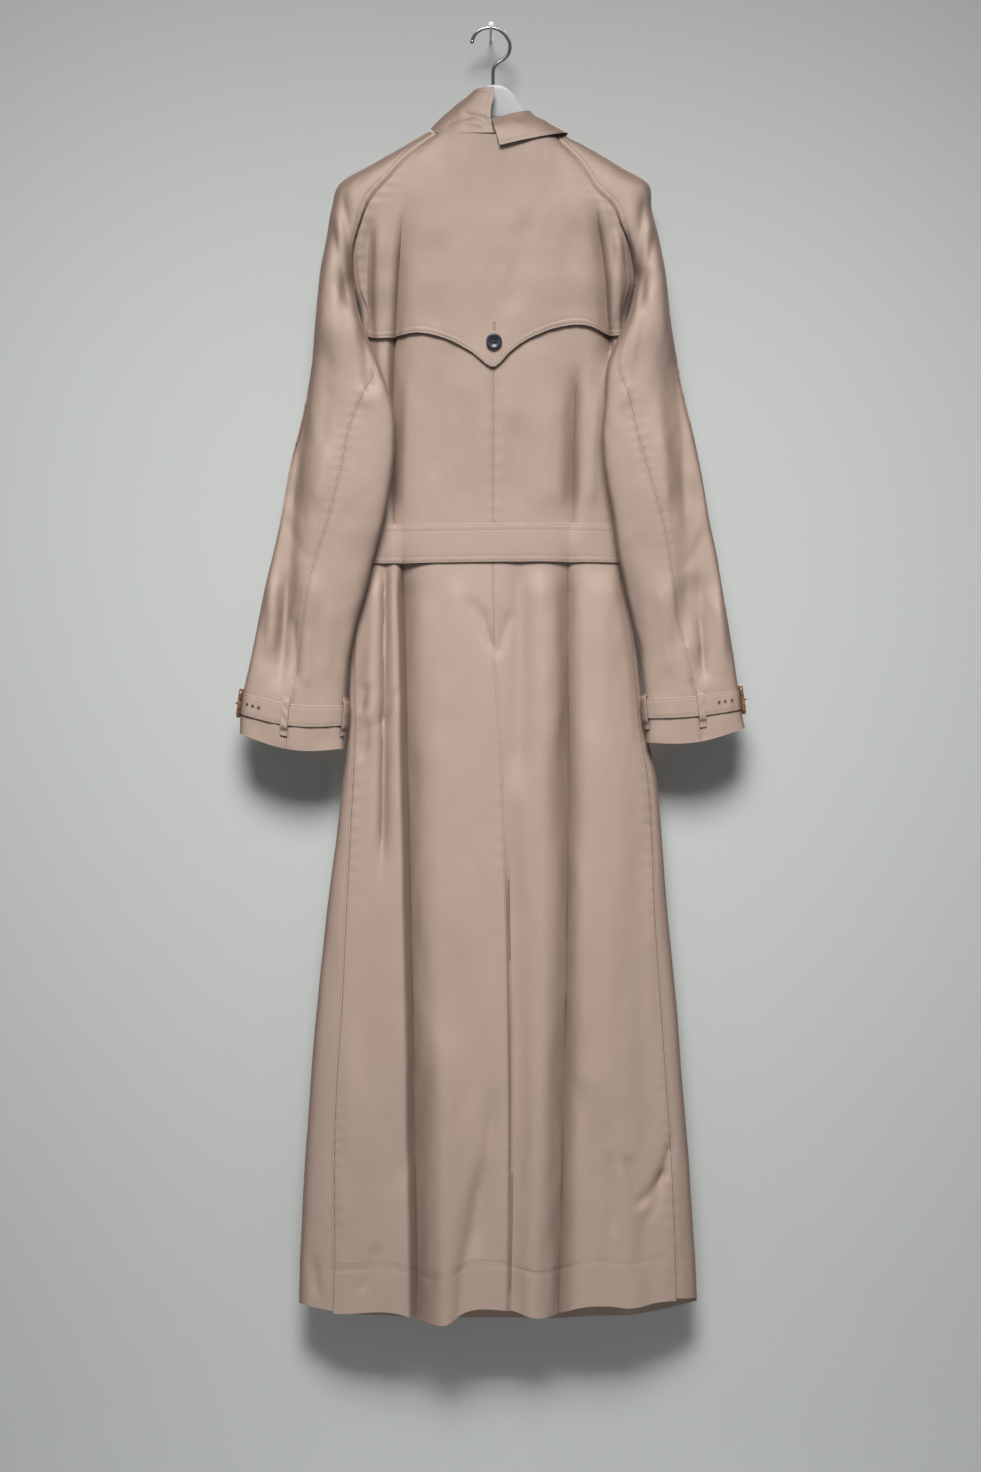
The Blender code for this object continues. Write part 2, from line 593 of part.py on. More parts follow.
def raglan_pair(side, row, half):
    """The points just outside and just inside of a raglan seam: on sleeve and body."""
    sign = 1 if side == "left" else -1
    turn = math.pi - NEAR if half == "back" else math.pi + NEAR
    inside = body_point(row, float(body_column(side, row)) + sign * 4, half)
    return arm_point(side, row, turn), inside


def side_pair(side, row):
    """The points just in front of and just behind a side seam below the underarm."""
    edge = float(body_column(side, row))
    inset = float(body_column(side + "_seam", row))
    sign = 1 if side == "left" else -1
    behind = body_point(row, edge + sign * (inset + 4), "back")
    if inset > 8:
        return body_point(row, edge + sign * (inset - 4), "back"), behind
    return body_point(row, edge + sign * 1.5, "front"), behind


def back_columns(side, row, count):
    """The places across a half of the back, from its seam to the centre back."""
    z = float(body_middle(row)[2])
    sign = 1 if side == "left" else -1
    start = float(body_column(side, row)) + sign * float(body_column(side + "_seam", row))
    lap = 0.0
    if side == "right":
        lap = VENT_LAP * float(ease(VENT_TOP_Z - 2, VENT_TOP_Z - 60, z))
    part = np.linspace(0, 1, count)
    return mix(start, float(vent_x(z)) - lap, part * (0.5 + 0.5 * part))


def back_panel(side, rows):
    """The grid and normals of a back half, from its side or raglan seam to the centre."""
    grid = []
    first = []
    last = []
    sign = 1 if side == "left" else -1
    for row in rows:
        z = float(body_middle(row)[2])
        x = back_columns(side, row, BACK_COLUMNS)
        line = body_point(row, np.concatenate((x, [x[-1] - sign * 4, x[-1] + sign * 4])), "back")
        if side == "right":
            middle = float(vent_x(z))
            under = ease(VENT_TOP_Z + 60, VENT_TOP_Z + 6, z) * ease(middle + 26, middle + 7, line[:, 0])
            line[:, 1] += LAP_DEPTH * under
        grid.append(line[:-2])
        last.append(line[-2:])
        first.append(raglan_pair(side, row, "back") if row <= UNDERARM_ROW else side_pair(side, row))
    grid = np.array(grid)
    inside = np.array([body_middle(row) for row in rows])
    normal = normals_of(grid, inside, np.array(first), np.array(last))
    return pull_in(grid, seam_gap(rows), SEAM / 2), normal


def front_panel(side, rows, count):
    """A front: round from the side seam, past the middle to its own front edge."""
    grid = []
    first = []
    last = []
    sign = 1 if side == "left" else -1
    for row in rows:
        edge = float(body_column(side, row))
        far = float(body_column("right" if side == "left" else "left", row))
        inset = float(body_column(side + "_seam", row))
        lap = float(body_column("lap", row))
        middle = mix(edge, far, 0.5)
        end = middle + sign * lap
        if row <= UNDERARM_ROW:
            part = np.linspace(0, 1, count)
            x = mix(edge, end, part * (0.6 + 0.4 * part))
            on_back = np.zeros(count, dtype=bool)
            first.append(raglan_pair(side, row, "front"))
        else:
            wrap = math.acos(1 - 2 * inset / abs(far - edge))
            turn = np.linspace(-wrap, math.acos(1 - 2 * abs(end - edge) / abs(far - edge)), count)
            x = edge + (far - edge) * (1 - np.cos(turn)) / 2
            on_back = turn < 0
            first.append(side_pair(side, row)[::-1])
        x = np.concatenate((x, [end - sign * 4, end + sign * 4]))
        on_back = np.concatenate((on_back, [False, False]))
        line = np.where(on_back[:, None], body_point(row, x, "back"), body_point(row, x, "front"))
        if side == "left":
            near = middle - lap
            line[:, 1] -= LAP_DEPTH * np.where(on_back, 0, ease(near - 34, near - 7, line[:, 0]))
        grid.append(line[:-2])
        last.append(line[-2:])
    grid = np.array(grid)
    inside = np.array([body_middle(row) for row in rows])
    normal = normals_of(grid, inside, np.array(first), np.array(last))
    return pull_in(grid, seam_gap(rows), 0.0), normal


def arm_seam(side, row):
    return float(np.arccos(np.clip(1 - 2 * arm(side, row)["seam"], -1, 1)))


def arm_middle(side, row):
    part = arm(side, row)
    return np.array(((part["outer_x"] + part["inner_x"]) / 2, part["outer_y"] - 3,
                     (part["outer_z"] + part["inner_z"]) / 2 - 6 * float(ease(6, 4, row))))


def arm_turns(side, row, half):
    seam = arm_seam(side, row)
    if half == "back":
        return np.linspace(0, seam, ARM_BACK_COLUMNS)
    return np.linspace(seam, 2 * math.pi, ARM_FRONT_COLUMNS)


def arm_panel(side, half, rows):
    """Half a sleeve: its back runs from the outer edge to the raglan or lower seam."""
    grid = []
    seam_pairs = []
    edge_pairs = []
    for row in rows:
        turn = arm_turns(side, row, half)
        seam = arm_seam(side, row)
        over = None
        if row <= UNDERARM_ROW:
            over = half == "back"
            pair = raglan_pair(side, row, half)
        else:
            pair = (arm_point(side, row, seam - NEAR), arm_point(side, row, seam + NEAR))
        if half == "front" and row <= UNDERARM_ROW:
            pair = pair[::-1]
        grid.append(arm_point(side, row, turn, over))
        seam_pairs.append(pair)
        edge_pairs.append((arm_point(side, row, -NEAR), arm_point(side, row, NEAR)))
    grid = np.array(grid)
    inside = np.array([arm_middle(side, row) for row in rows])
    seam_pairs = np.array(seam_pairs)
    edge_pairs = np.array(edge_pairs)
    if half == "back":
        normal = normals_of(grid, inside, edge_pairs, seam_pairs)
        return pull_in(grid, SEAM / 2, seam_gap(rows)), normal
    normal = normals_of(grid, inside, seam_pairs, edge_pairs)
    return pull_in(grid, seam_gap(rows), SEAM / 2), normal


def cuff_ring(side, rows):
    """Sections right round a cuff, on the same columns as the sleeve's two halves."""
    grid = []
    pairs = []
    for row in rows:
        turn = np.concatenate((arm_turns(side, row, "back"), arm_turns(side, row, "front")[1:]))
        grid.append(arm_point(side, row, turn))
        pairs.append((arm_point(side, row, -NEAR), arm_point(side, row, NEAR)))
    grid = np.array(grid)
    pairs = np.array(pairs)
    inside = np.array([arm_middle(side, row) for row in rows])
    return grid, normals_of(grid, inside, pairs, pairs)


YOKE_LEVELS = 4
YOKE_ROW_Z = (-290.0, -345.0)  # the body rows that its last levels are cut on
YOKE_INSETS = (1.0, 7.0)    # from the raglan seam at the neck, and more at the underarm
YOKE_CLEAR = 0.2            # over the back, besides a seam's gap
YOKE_LIFT = 1.5             # further at its loose hem
YOKE_BEND_LIFT = 0.9        # and further where the back bends sharply


def yoke_panel():
    """The yoke: the back's own columns, down to its own scalloped hem."""
    grid = []
    inside = []
    for row in range(UNDERARM_ROW + YOKE_LEVELS + 1):
        level = max(row - UNDERARM_ROW, 0) / YOKE_LEVELS
        row = float(min(row, UNDERARM_ROW))
        inset = YOKE_INSETS[0] + YOKE_INSETS[1] * float(ease(3.5, UNDERARM_ROW, row))
        if level:
            row = float(row_at(mix(*YOKE_ROW_Z, level)))
        left = back_columns("left", row, BACK_COLUMNS)
        right = back_columns("right", row, BACK_COLUMNS)[::-1]
        x = np.concatenate(([left[0] + inset], left[2:], right[1:-2], [right[-1] - inset]))
        if level:
            hem = smooth(column(YOKE, YOKE_COLUMNS, "x"), column(YOKE, YOKE_COLUMNS, "z"), x)
            top = np.array([point[2] for point in body_point(float(UNDERARM_ROW), x, "back")])
            z = mix(top, hem, level)
            grid.append(np.array([body_point(float(row_at(depth)), place, "back")
                                  for place, depth in zip(x, z)]))
        else:
            grid.append(body_point(row, x, "back"))
        inside.append(body_middle(row))
    grid = np.array(grid)
    normal = normals_of(grid, np.array(inside), grid[:, :2], grid[:, -2:])
    lift = YOKE_LIFT * np.linspace(0, 1, len(grid))[:, None, None] ** 3
    bend = np.linalg.norm(np.gradient(normal, axis=1), axis=2, keepdims=True)
    lift = lift + YOKE_BEND_LIFT * np.minimum(bend / 0.3, 1)
    return grid + normal * (CLOTH + SEAM + YOKE_CLEAR + lift), normal


def round_neck(stations, turn, behind_power, before_power):
    """A soft line round the neck through three stations: back, side and front. The
    powers say how soon its height leaves that of the side."""
    back, side, front = (np.asarray(station, dtype=float) for station in stations)
    turn = np.asarray(turn, dtype=float)
    behind = turn <= math.pi / 2
    x = np.where(behind, back[0] + (side[0] - back[0]) * np.sin(turn),
                 front[0] + (side[0] - front[0]) * np.sin(turn))
    y = np.where(behind, side[1] + (back[1] - side[1]) * np.cos(turn),
                 side[1] - (front[1] - side[1]) * np.cos(turn))
    reach = np.clip(np.sin(turn), 0, 1)
    z = np.where(behind, side[2] + (back[2] - side[2]) * (1 - reach ** behind_power),
                 side[2] + (front[2] - side[2]) * (1 - reach ** before_power))
    return np.stack((x, y, z), axis=-1)


def collar_sheet(side, count):
    """A collar half as rows up its stand; the folded half goes on over and down."""
    turn = np.linspace(-0.12, math.pi + 0.12, count + 2)
    turn[1:-1] = np.linspace(0, math.pi, count)
    seam = round_neck(NECK_SEAM[side], turn, 12, 2) + np.array((0, 0, COLLAR_CLEAR[0]))
    seam[:, 2] += COLLAR_CLEAR[1] * ease(1.4, 1.8, turn)
    thick, high = COLLAR_ROLL
    rows = []
    if side == "left":
        top = round_neck(COLLAR_TOP, turn, 2, 2)
        for part in np.linspace(0, 1, 6):
            bow = COLLAR_BOW[0] * math.sin(math.pi * part)
            out = np.stack((-np.sin(turn) * bow, -np.cos(turn) * bow, 0 * turn), axis=-1)
            slant = COLLAR_SLANT * math.sin(math.pi * min(part / 0.8, 1)) * np.exp(-(turn / 0.2) ** 2)
            out[:, 0] += slant
            rows.append(mix(seam, top, part) + out)
    else:
        fold = round_neck(COLLAR_FOLD, turn, 1.2, 1.6)
        edge = round_neck(COLLAR_EDGE, turn, 1, 1.3)
        out = np.stack((np.sin(turn), -np.cos(turn), 0 * turn), axis=-1)
        for part in (0, 0.35, 0.7, 0.93):
            rows.append(mix(seam, fold - out * thick - np.array((0, 0, high)), part))
        rows.append(fold)
        for part in (0.07, 0.35, 0.7, 1.0):
            bow = COLLAR_BOW[1] * math.sin(math.pi * part ** 0.8) * np.abs(np.cos(turn))[:, None]
            rows.append(mix(fold + out * thick - np.array((0, 0, high)), edge, part) + out * bow)
    grid = np.array(rows)
    along = grid[:, 2:] - grid[:, :-2]
    middle = grid[:, 1:-1]
    normal = np.cross(along, np.gradient(middle, axis=0))
    normal = normal / np.linalg.norm(normal, axis=2, keepdims=True)
    return middle, normal


BELT_TURNS = (-0.18, 2 * math.pi + 0.36)  # from its buckle end to its tip, in radians
BELT_COLUMNS = 48
BELT_LAP = 0.4              # between its end and what it laps over


def belt_sheet():
    """The belt: round from its buckle end and back to its tip, which laps over."""
    rows = []
    inside = []
    for z in (BELT_Z + BELT_WIDTH / 2, BELT_Z, BELT_Z - BELT_WIDTH / 2):
        row = float(row_at(z))
        left = float(body_column("left", row))
        right = float(body_column("right", row))
        middle = (left + right) / 2
        turn = np.linspace(*BELT_TURNS, BELT_COLUMNS)
        x = middle + (right - left) / 2 * np.sin(turn)
        front = np.cos(turn) > 0
        line = np.where(front[:, None], body_point(row, x, "front"), body_point(row, x, "back"))
        line[:, 2] = z
        rows.append(line)
        inside.append(np.array((middle, SIDE_Y, z)))
    grid = np.array(rows)
    normal = normals_of(grid, np.array(inside), grid[:, :2], grid[:, -2:])
    lap = ease(0.86, 0.90, np.linspace(0, 1, grid.shape[1]))[None, :, None]
    clear = CLOTH / 2 + BELT_WALL / 2 + BELT_CLEAR + (BELT_WALL + BELT_LAP) * lap
    return grid + normal * clear, normal


def strap_point(side, row, turn, clear):
    """A point clear of the cuff's middle surface, with the direction outwards there."""
    ahead = arm_point(side, row, turn + 0.15) - arm_point(side, row, turn - 0.15)
    down = arm_point(side, row + 0.2, turn) - arm_point(side, row - 0.2, turn)
    spot = arm_point(side, row, turn)
    normal = np.cross(ahead, down)
    normal = normal / np.linalg.norm(normal)
    if np.dot(normal, spot - arm_middle(side, row)) < 0:
        normal = -normal
    return spot + normal * clear, normal


STRAP_ROWS = (19.0, 19.5, 20.0)
STRAP_CLEAR = CLOTH / 2 + STRAP_WALL / 2 + 0.5
# A keeper's section over the strap: arm row and how far out its middle lies
LOOP = ((18.50, 2.0), (18.72, 2.3), (18.88, 4.4), (19.15, 4.9), (19.5, 5.0), (19.85, 4.9),
        (20.10, 4.4), (20.26, 2.3), (20.46, 2.0))
LOOP_WALL = 1.4
# Where each keeper sits round its cuff, and half its width, as turns in radians
LOOPS = {"cuff_loop_left_back": ("left", 1.42, 0.07), "cuff_loop_left_inner": ("left", 3.02, 0.26),
         "cuff_loop_right_back": ("right", 1.40, 0.07), "cuff_loop_right_inner": ("right", 3.02, 0.26)}


def loop_sheet(side, turn, half):
    turns = np.linspace(turn - half, turn + half, 5)
    middle = []
    normal = []
    for row, clear in LOOP:
        pairs = [strap_point(side, row, place, clear) for place in turns]
        middle.append([pair[0] for pair in pairs])
        normal.append([pair[1] for pair in pairs])
    middle = np.array(middle)
    outward = np.array(normal)
    faced = np.cross(np.gradient(middle, axis=1), np.gradient(middle, axis=0))
    faced = faced / np.linalg.norm(faced, axis=2, keepdims=True)
    if np.sum(faced * outward) < 0:
        faced = -faced
    return middle, faced


BUCKLE = (24.0, 34.0)       # width, height
BUCKLE_BAR = 2.1            # radius
BUCKLE_CLEAR = 0.35
# A cuff's prong: how far along the strap and how far out each of its points lies
PRONG = ((-14, 2.8), (-9.9, 3.6), (-3, 4.0), (4, 4.0), (9.9, 3.6))
PRONG_WIRE = (1.1, 0.7)     # radius, and how much of it is left at the tip
BELT_PRONG_WIRE = 1.5


def buckle_place(side, sign):
    """The middle of a cuff's buckle, just clear of cuff and strap at the outer edge, and
    the cuff's lean there."""
    middle = arm_point(side, 19.5, 0.0)
    step = arm_point(side, 19.0, 0.0) - arm_point(side, 20.0, 0.0)
    slope = step[0] / step[2]
    outward = []
    for turn in np.linspace(-0.9, 0.9, 37):
        strap = strap_point(side, 19.5, turn, STRAP_CLEAR + STRAP_WALL / 2)[0]
        aside = abs(strap[1] - middle[1])
        if BUCKLE[0] / 2 - 2 * BUCKLE_BAR < aside < BUCKLE[0] / 2:
            outward.append((strap[0] - slope * (strap[2] - middle[2])) * sign)
        for row in (18.95, 20.1):
            cuff = strap_point(side, row, turn, CLOTH / 2)[0]
            outward.append((cuff[0] - slope * (cuff[2] - middle[2])) * sign)
    x = sign * (max(outward) + BUCKLE_BAR + BUCKLE_CLEAR)
    return np.array((x, middle[1], middle[2])), slope


def surface_out(z, x, side, radius, clear):
    """The foot of a button just off the body's outer face, on its back or front."""
    sign = -1 if side == "back" else 1
    reach = np.array((-radius, 0, radius))
    rows = [float(row_at(z + step)) for step in reach]
    highest = max(float(np.max(body_point(row, x + reach, side)[:, 1] * sign)) for row in rows)
    return np.array((x, sign * (highest + clear), z))


def button_profile(width, thick):
    return [(thick * along, width / 2 * out) for along, out in BUTTON_RIM]


def build():
    cloth = material("trench_cloth", (0.47, 0.37, 0.30), 0.62)
    dark = material("dark_button", (0.03, 0.035, 0.05), 0.35)
    horn = material("tortoise", (0.17, 0.08, 0.035), 0.28)
    steel = material("steel", (0.62, 0.62, 0.62), 0.28, 1.0)
    pale = material("hanger_plastic", (0.72, 0.72, 0.70), 0.45)
    white = material("nail_paint", (0.86, 0.86, 0.85), 0.5)

    for side in ("left", "right"):
        middle, normal = back_panel(side, BODY_ROWS)
        add_sheet("back_" + side, middle, normal, CLOTH, cloth)
        middle, normal = front_panel(side, BODY_ROWS, 13)
        add_sheet("front_" + side, middle, normal, CLOTH, cloth)
        for half in ("back", "front"):
            middle, normal = arm_panel(side, half, ARM_ROWS)
            add_sheet("sleeve_" + side + "_" + half, middle, normal, CLOTH, cloth)

    middle, normal = yoke_panel()
    add_sheet("back_yoke", middle, normal, CLOTH, cloth, BACK_COLUMNS - 1)
    middle, normal = collar_sheet("left", 13)
    add_sheet("collar_left", middle, normal, CLOTH, cloth)
    middle, normal = collar_sheet("right", 13)
    add_sheet("collar_right", middle, normal, CLOTH, cloth)
    middle, normal = belt_sheet()
    add_sheet("belt", middle, normal, BELT_WALL, cloth)

    for side in ("left", "right"):
        middle, normal = cuff_ring(side, STRAP_ROWS)
        middle = pull_in(middle + normal * STRAP_CLEAR, SEAM, SEAM)
        add_sheet("cuff_strap_" + side, middle, normal, STRAP_WALL, cloth)
    for name, (side, turn, half) in LOOPS.items():
        middle, normal = loop_sheet(side, turn, half)
        add_sheet(name, middle, normal, LOOP_WALL, cloth)

    for side, sign in (("left", -1), ("right", 1)):
        place, slope = buckle_place(side, sign)
        lean = np.array((slope, 0, 1.0))
        lean = lean / np.linalg.norm(lean)
        add_frame("cuff_buckle_" + side, place, (0, 1, 0), lean, BUCKLE, BUCKLE_BAR, horn)
        out = np.array((sign, 0, 0))
        prong = [place + np.array((0, along, 0)) + out * off for along, off in PRONG]
        add_tube("cuff_prong_" + side, prong, PRONG_WIRE[0], horn, 8, PRONG_WIRE[1])

    front = belt_sheet()[0][:, -4:].reshape(-1, 3)
    across = BELT_BUCKLE[0]
    place = np.array((BELT_BUCKLE_X, front[:, 1].max() + BELT_WALL / 2 + SEAM + BELT_BAR, BELT_Z))
    add_frame("belt_buckle", place, (1, 0, 0), (0, 0, 1), BELT_BUCKLE, BELT_BAR, horn)
    end = across / 2 - 2 * BELT_BAR - SEAM
    add_tube("belt_prong", [place - (end, 0, 0), place, place + (end, 0, 0)], BELT_PRONG_WIRE, horn)

    radius = YOKE_BUTTON[0] / 2
    x, z = YOKE_BUTTON_PLACE
    place = surface_out(z, x, "back", radius, CLOTH * 1.5 + SEAM + YOKE_BUTTON_CLEAR)
    add_turned("yoke_button", place, (0, -1, 0), button_profile(*YOKE_BUTTON), dark)
    radius = FRONT_BUTTON[0] / 2
    number = 1
    for z in FRONT_BUTTON_Z:
        for x in FRONT_BUTTON_X:
            place = surface_out(z, x, "front", radius, CLOTH / 2 + FRONT_BUTTON_CLEAR)
            profile = button_profile(*FRONT_BUTTON)
            add_turned("front_button_%d" % number, place, (0, 1, 0), profile, dark, 12)
            number += 1

    sections = [(HANGER_MIDDLE_X + sign * x, z, deep) for sign, rows in
                ((-1, HANGER_EDGE[::-1]), (1, HANGER_EDGE[1:])) for x, z, deep in rows]
    add_hanger(sections, pale)
    turn = np.linspace(0, len(HOOK) - 1, 31)
    steps = np.arange(len(HOOK))
    wire = np.stack((smooth(steps, [row[0] for row in HOOK], turn), np.full(len(turn), HANGER_Y),
                     smooth(steps, [row[1] for row in HOOK], turn)), axis=-1)
    add_tube("hanger_hook", wire, WIRE / 2, steel, 8)
    shank, head, length, rise = NAIL
    reach = math.hypot(length, rise)
    under, start, end, bevel = NAIL_HEAD
    add_turned("wall_nail", (0, 0, 0), (NAIL_LEAN, -length, rise),
               ((0, shank / 2), (reach - under, shank / 2), (reach - start, head / 2),
                (reach - end, head / 2), (reach, head / 2 - bevel)), white, 16)


for item in list(bpy.data.objects):
    bpy.data.objects.remove(item, do_unlink=True)
build()
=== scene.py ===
# A long trench coat on a hanger and a wall nail, seen from behind, dressed over its solids.
# Tables and sizes hold millimetres; the scene is in metres. Left and right are as a viewer
# who faces the coat's back sees them. Every cloth piece follows the same sections as its solid.
import math

import bpy
import numpy as np
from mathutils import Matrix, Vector, noise


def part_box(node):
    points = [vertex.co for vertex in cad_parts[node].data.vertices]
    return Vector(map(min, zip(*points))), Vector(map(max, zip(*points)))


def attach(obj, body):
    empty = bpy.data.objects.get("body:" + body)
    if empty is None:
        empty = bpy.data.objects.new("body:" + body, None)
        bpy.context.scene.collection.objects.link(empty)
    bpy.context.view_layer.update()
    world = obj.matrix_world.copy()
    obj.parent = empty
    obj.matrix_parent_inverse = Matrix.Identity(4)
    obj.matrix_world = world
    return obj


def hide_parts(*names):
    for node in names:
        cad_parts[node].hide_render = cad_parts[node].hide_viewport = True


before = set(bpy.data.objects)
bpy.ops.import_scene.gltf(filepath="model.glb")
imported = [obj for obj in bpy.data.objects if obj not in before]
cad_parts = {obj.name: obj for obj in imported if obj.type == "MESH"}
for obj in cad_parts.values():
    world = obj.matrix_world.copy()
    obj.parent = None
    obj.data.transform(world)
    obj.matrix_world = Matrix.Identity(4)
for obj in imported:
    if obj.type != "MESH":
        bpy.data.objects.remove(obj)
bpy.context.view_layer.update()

# The two back halves
# Closely woven cotton with a silky face, cut as two long panels. They meet in the centre
# back seam, run into the raglan seams above and open below in a vent, the left lying over.
CLOTH = 1.6                      # thickness that the solids have
SHELL = 1.2                      # thickness that shows
OUTSET = (CLOTH - SHELL) / 2     # brings the shell's outer face to the solid's
SEAM = 0.3
STITCH_DRAW = 0.9                # how wide a row of stitches draws the cloth in
SIDE_Y = -35.0
BELT_Z = -582.0
HEM_Z = -1450.0
CENTRE_BACK_X = 3.7
VENT_TOP_Z = -696.0
VENT_LAP = 34.0
LAP_DEPTH = 2.4
FRONT_HEM_DROP = 22.0
UNDERARM_ROW = 7                 # the section at which the raglan seams end
UNDERARM_Z = -289.0
NEAR = 0.25                      # a small turn, for the points beside a sleeve's seam
INWARDS = {"left": 1, "right": -1}   # the way along x from a side to the coat's middle

# Arms. A row is one section, from the shoulder line or outer edge to the raglan seam,
# and below the underarm to the inner edge. back and front are how far the two walls
# bulge, seam is how far across the back of the sleeve its lower seam lies.
ARM_COLUMNS = "outer_x outer_z inner_x inner_z outer_y inner_back inner_front back front sag seam".split()
ARM_LEFT = (
    (-70, -113, -60, -118, -34, -44, -24, 0, 0, 0, 1.0),
    (-96, -128, -90, -142, -34, -52, -22, 1, 1, 0, 1.0),
    (-130, -148, -116, -171, -34, -57, -19, 2, 2, 0, 1.0),
    (-170, -171, -134, -191, -34, -58, -18, 4, 3, 0, 1.0),
    (-180, -199, -145, -212, -36, -56, -20, 10, 6, 0, 1.0),
    (-186, -234, -155, -243, -38, -50, -24, 18, 10, 0, 1.0),
    (-193, -270, -157, -270, -39, -42, -30, 26, 14, 0, 1.0),
    (-196, -300, -155, -293, -40, -35, -35, 30, 16, 0, 1.0),
    (-199, -335, -149, -325, -42, -50, -50, 30, 8, 0, 0.99),
    (-202, -375, -128, -379, -44, -57, -57, 24, 6, 0, 0.94),
    (-208, -412, -113, -420, -45, -61, -61, 21, 7, 0, 0.66),
    (-217, -452, -109, -455, -46, -62, -62, 20, 7, 0, 0.53),
    (-228, -498, -112, -500, -46, -62, -62, 20, 7, 0, 0.51),
    (-238, -556, -122, -558, -46, -60, -60, 20, 8, 0, 0.47),
    (-246, -593, -131, -593, -46, -57, -57, 19, 8, 0, 0.44),
    (-255, -630, -141, -632, -46, -54, -54, 19, 8, 0, 0.43),
    (-263, -670, -153, -674, -46, -52, -52, 18, 9, 0, 0.46),
    (-270, -707, -161, -712, -47, -50, -50, 17, 11, 0, 0.49),
    (-277, -738, -164, -746, -48, -49, -49, 17, 13, 3, 0.49),
    (-280, -752, -165, -766, -48, -49, -49, 17, 14, 6, 0.49),
    (-283, -776, -167, -789, -48, -49, -49, 17, 14, 7, 0.46),
    (-284, -798, -167, -815, -48, -49, -49, 16, 14, 10, 0.45),
)
ARM_RIGHT = (
    (82, -116, 73, -122, -34, -44, -25, 0, 0, 0, 1.0),
    (112, -131, 100, -152, -34, -52, -22, 1, 1, 0, 1.0),
    (147, -152, 118, -181, -34, -57, -19, 2, 2, 0, 1.0),
    (179, -172, 139, -202, -34, -58, -18, 4, 3, 0, 1.0),
    (183, -201, 148, -222, -36, -56, -20, 10, 6, 0, 1.0),
    (191, -234, 157, -240, -38, -50, -24, 18, 10, 0, 1.0),
    (198, -270, 163, -262, -39, -42, -30, 26, 14, 0, 1.0),
    (201, -296, 165, -285, -40, -35, -35, 30, 16, 0, 1.0),
    (205, -335, 158, -322, -42, -50, -50, 30, 8, 0, 0.97),
    (212, -376, 134, -378, -44, -57, -57, 24, 6, 0, 0.86),
    (219, -412, 130, -420, -45, -61, -61, 21, 7, 0, 0.70),
    (228, -450, 127, -460, -46, -62, -62, 20, 7, 0, 0.62),
    (238, -498, 130, -498, -46, -62, -62, 20, 7, 0, 0.56),
    (248, -556, 140, -557, -46, -60, -60, 20, 8, 0, 0.50),
    (256, -593, 145, -592, -46, -57, -57, 19, 8, 0, 0.49),
    (262, -630, 153, -630, -46, -54, -54, 19, 8, 0, 0.50),
    (269, -670, 163, -672, -46, -52, -52, 18, 9, 0, 0.53),
    (275, -707, 171, -705, -47, -50, -50, 17, 11, 0, 0.52),
    (279, -737, 174, -745, -48, -49, -49, 17, 13, 1, 0.48),
    (281, -749, 175, -759, -48, -49, -49, 17, 14, 2, 0.47),
    (284, -771, 177, -781, -48, -49, -49, 17, 14, 3, 0.46),
    (288, -792, 177, -808, -48, -49, -49, 16, 14, 8, 0.45),
)

# Body above the underarm. A row is one section between the raglan seams. round is the
# power of the section's rounding, drop is how far the front neckline lies lower.
CHEST_COLUMNS = "back front round drop lap".split()
CHEST = (
    (-62, -14, 0.50, 34, 30),
    (-63, -13, 0.80, 26, 42),
    (-64, -12, 0.90, 16, 56),
    (-65, -12, 0.90, 8, 68),
    (-66, -12, 0.90, 3, 76),
    (-66.5, -12, 0.80, 0, 80),
    (-67, -12, 0.65, 0, 80),
    (-67, -12, 0.50, 0, 80),
)

# Body below the underarm: the edges and depth of each section. square makes it flatter,
# and the two seam columns say how far in from the edge, on the back, a side seam lies.
SKIRT_COLUMNS = "z left right back front square left_seam right_seam".split()
SKIRT = (
    (-318, -147, 155, -66, -12, 1.8, 1, 1),
    (-345, -146, 154, -65, -12, 1.7, 1, 1),
    (-385, -146, 153, -64, -12, 1.7, 1, 1),
    (-430, -145, 152, -63, -12, 1.7, 2, 2),
    (-480, -145, 151, -61, -12, 1.7, 2, 2),
    (-525, -144, 149, -59, -14, 1.8, 2, 2),
    (-560, -142, 147, -58, -16, 1.9, 2, 2),
    (-582, -141, 146, -58, -16, 1.9, 2, 2),
    (-605, -143, 148, -58, -16, 1.9, 2, 2),
    (-640, -150, 154, -60, -14, 1.9, 3, 2),
    (-682, -158, 163, -62, -12, 1.9, 4, 3),
    (-735, -160, 169, -64, -12, 1.9, 5, 4),
    (-790, -163, 176, -65, -12, 2.0, 9, 6),
    (-850, -168, 188, -66, -12, 2.0, 12, 9),
    (-925, -176, 195, -67, -12, 2.0, 16, 11),
    (-1010, -187, 202, -69, -12, 2.1, 23, 15),
    (-1100, -196, 210, -70, -12, 2.1, 28, 17),
    (-1190, -204, 217, -71, -12, 2.2, 30, 18),
    (-1280, -211, 225, -72, -12, 2.2, 34, 20),
    (-1370, -215, 231, -73, -12, 2.3, 38, 22),
    (-1450, -218, 235, -74, -12, 2.3, 40, 24),
)

# Lower edge of the vent's upper side, the centre back line
VENT_COLUMNS = "z x".split()
VENT = ((-696, 3.7), (-750, 8), (-813, 12), (-905, 15), (-985, 18), (-1065, 20), (-1196, 22),
        (-1330, 21), (-1460, 19))

# Back hem: how it swings along its width
HEM_COLUMNS = "x z".split()
HEM = ((-218, -1449), (-180, -1455), (-105, -1454), (-72, -1464), (-48, -1465), (-34, -1455),
       (18, -1450), (58, -1459), (80, -1454), (101, -1447), (122, -1445), (161, -1448),
       (196, -1442), (235, -1443))

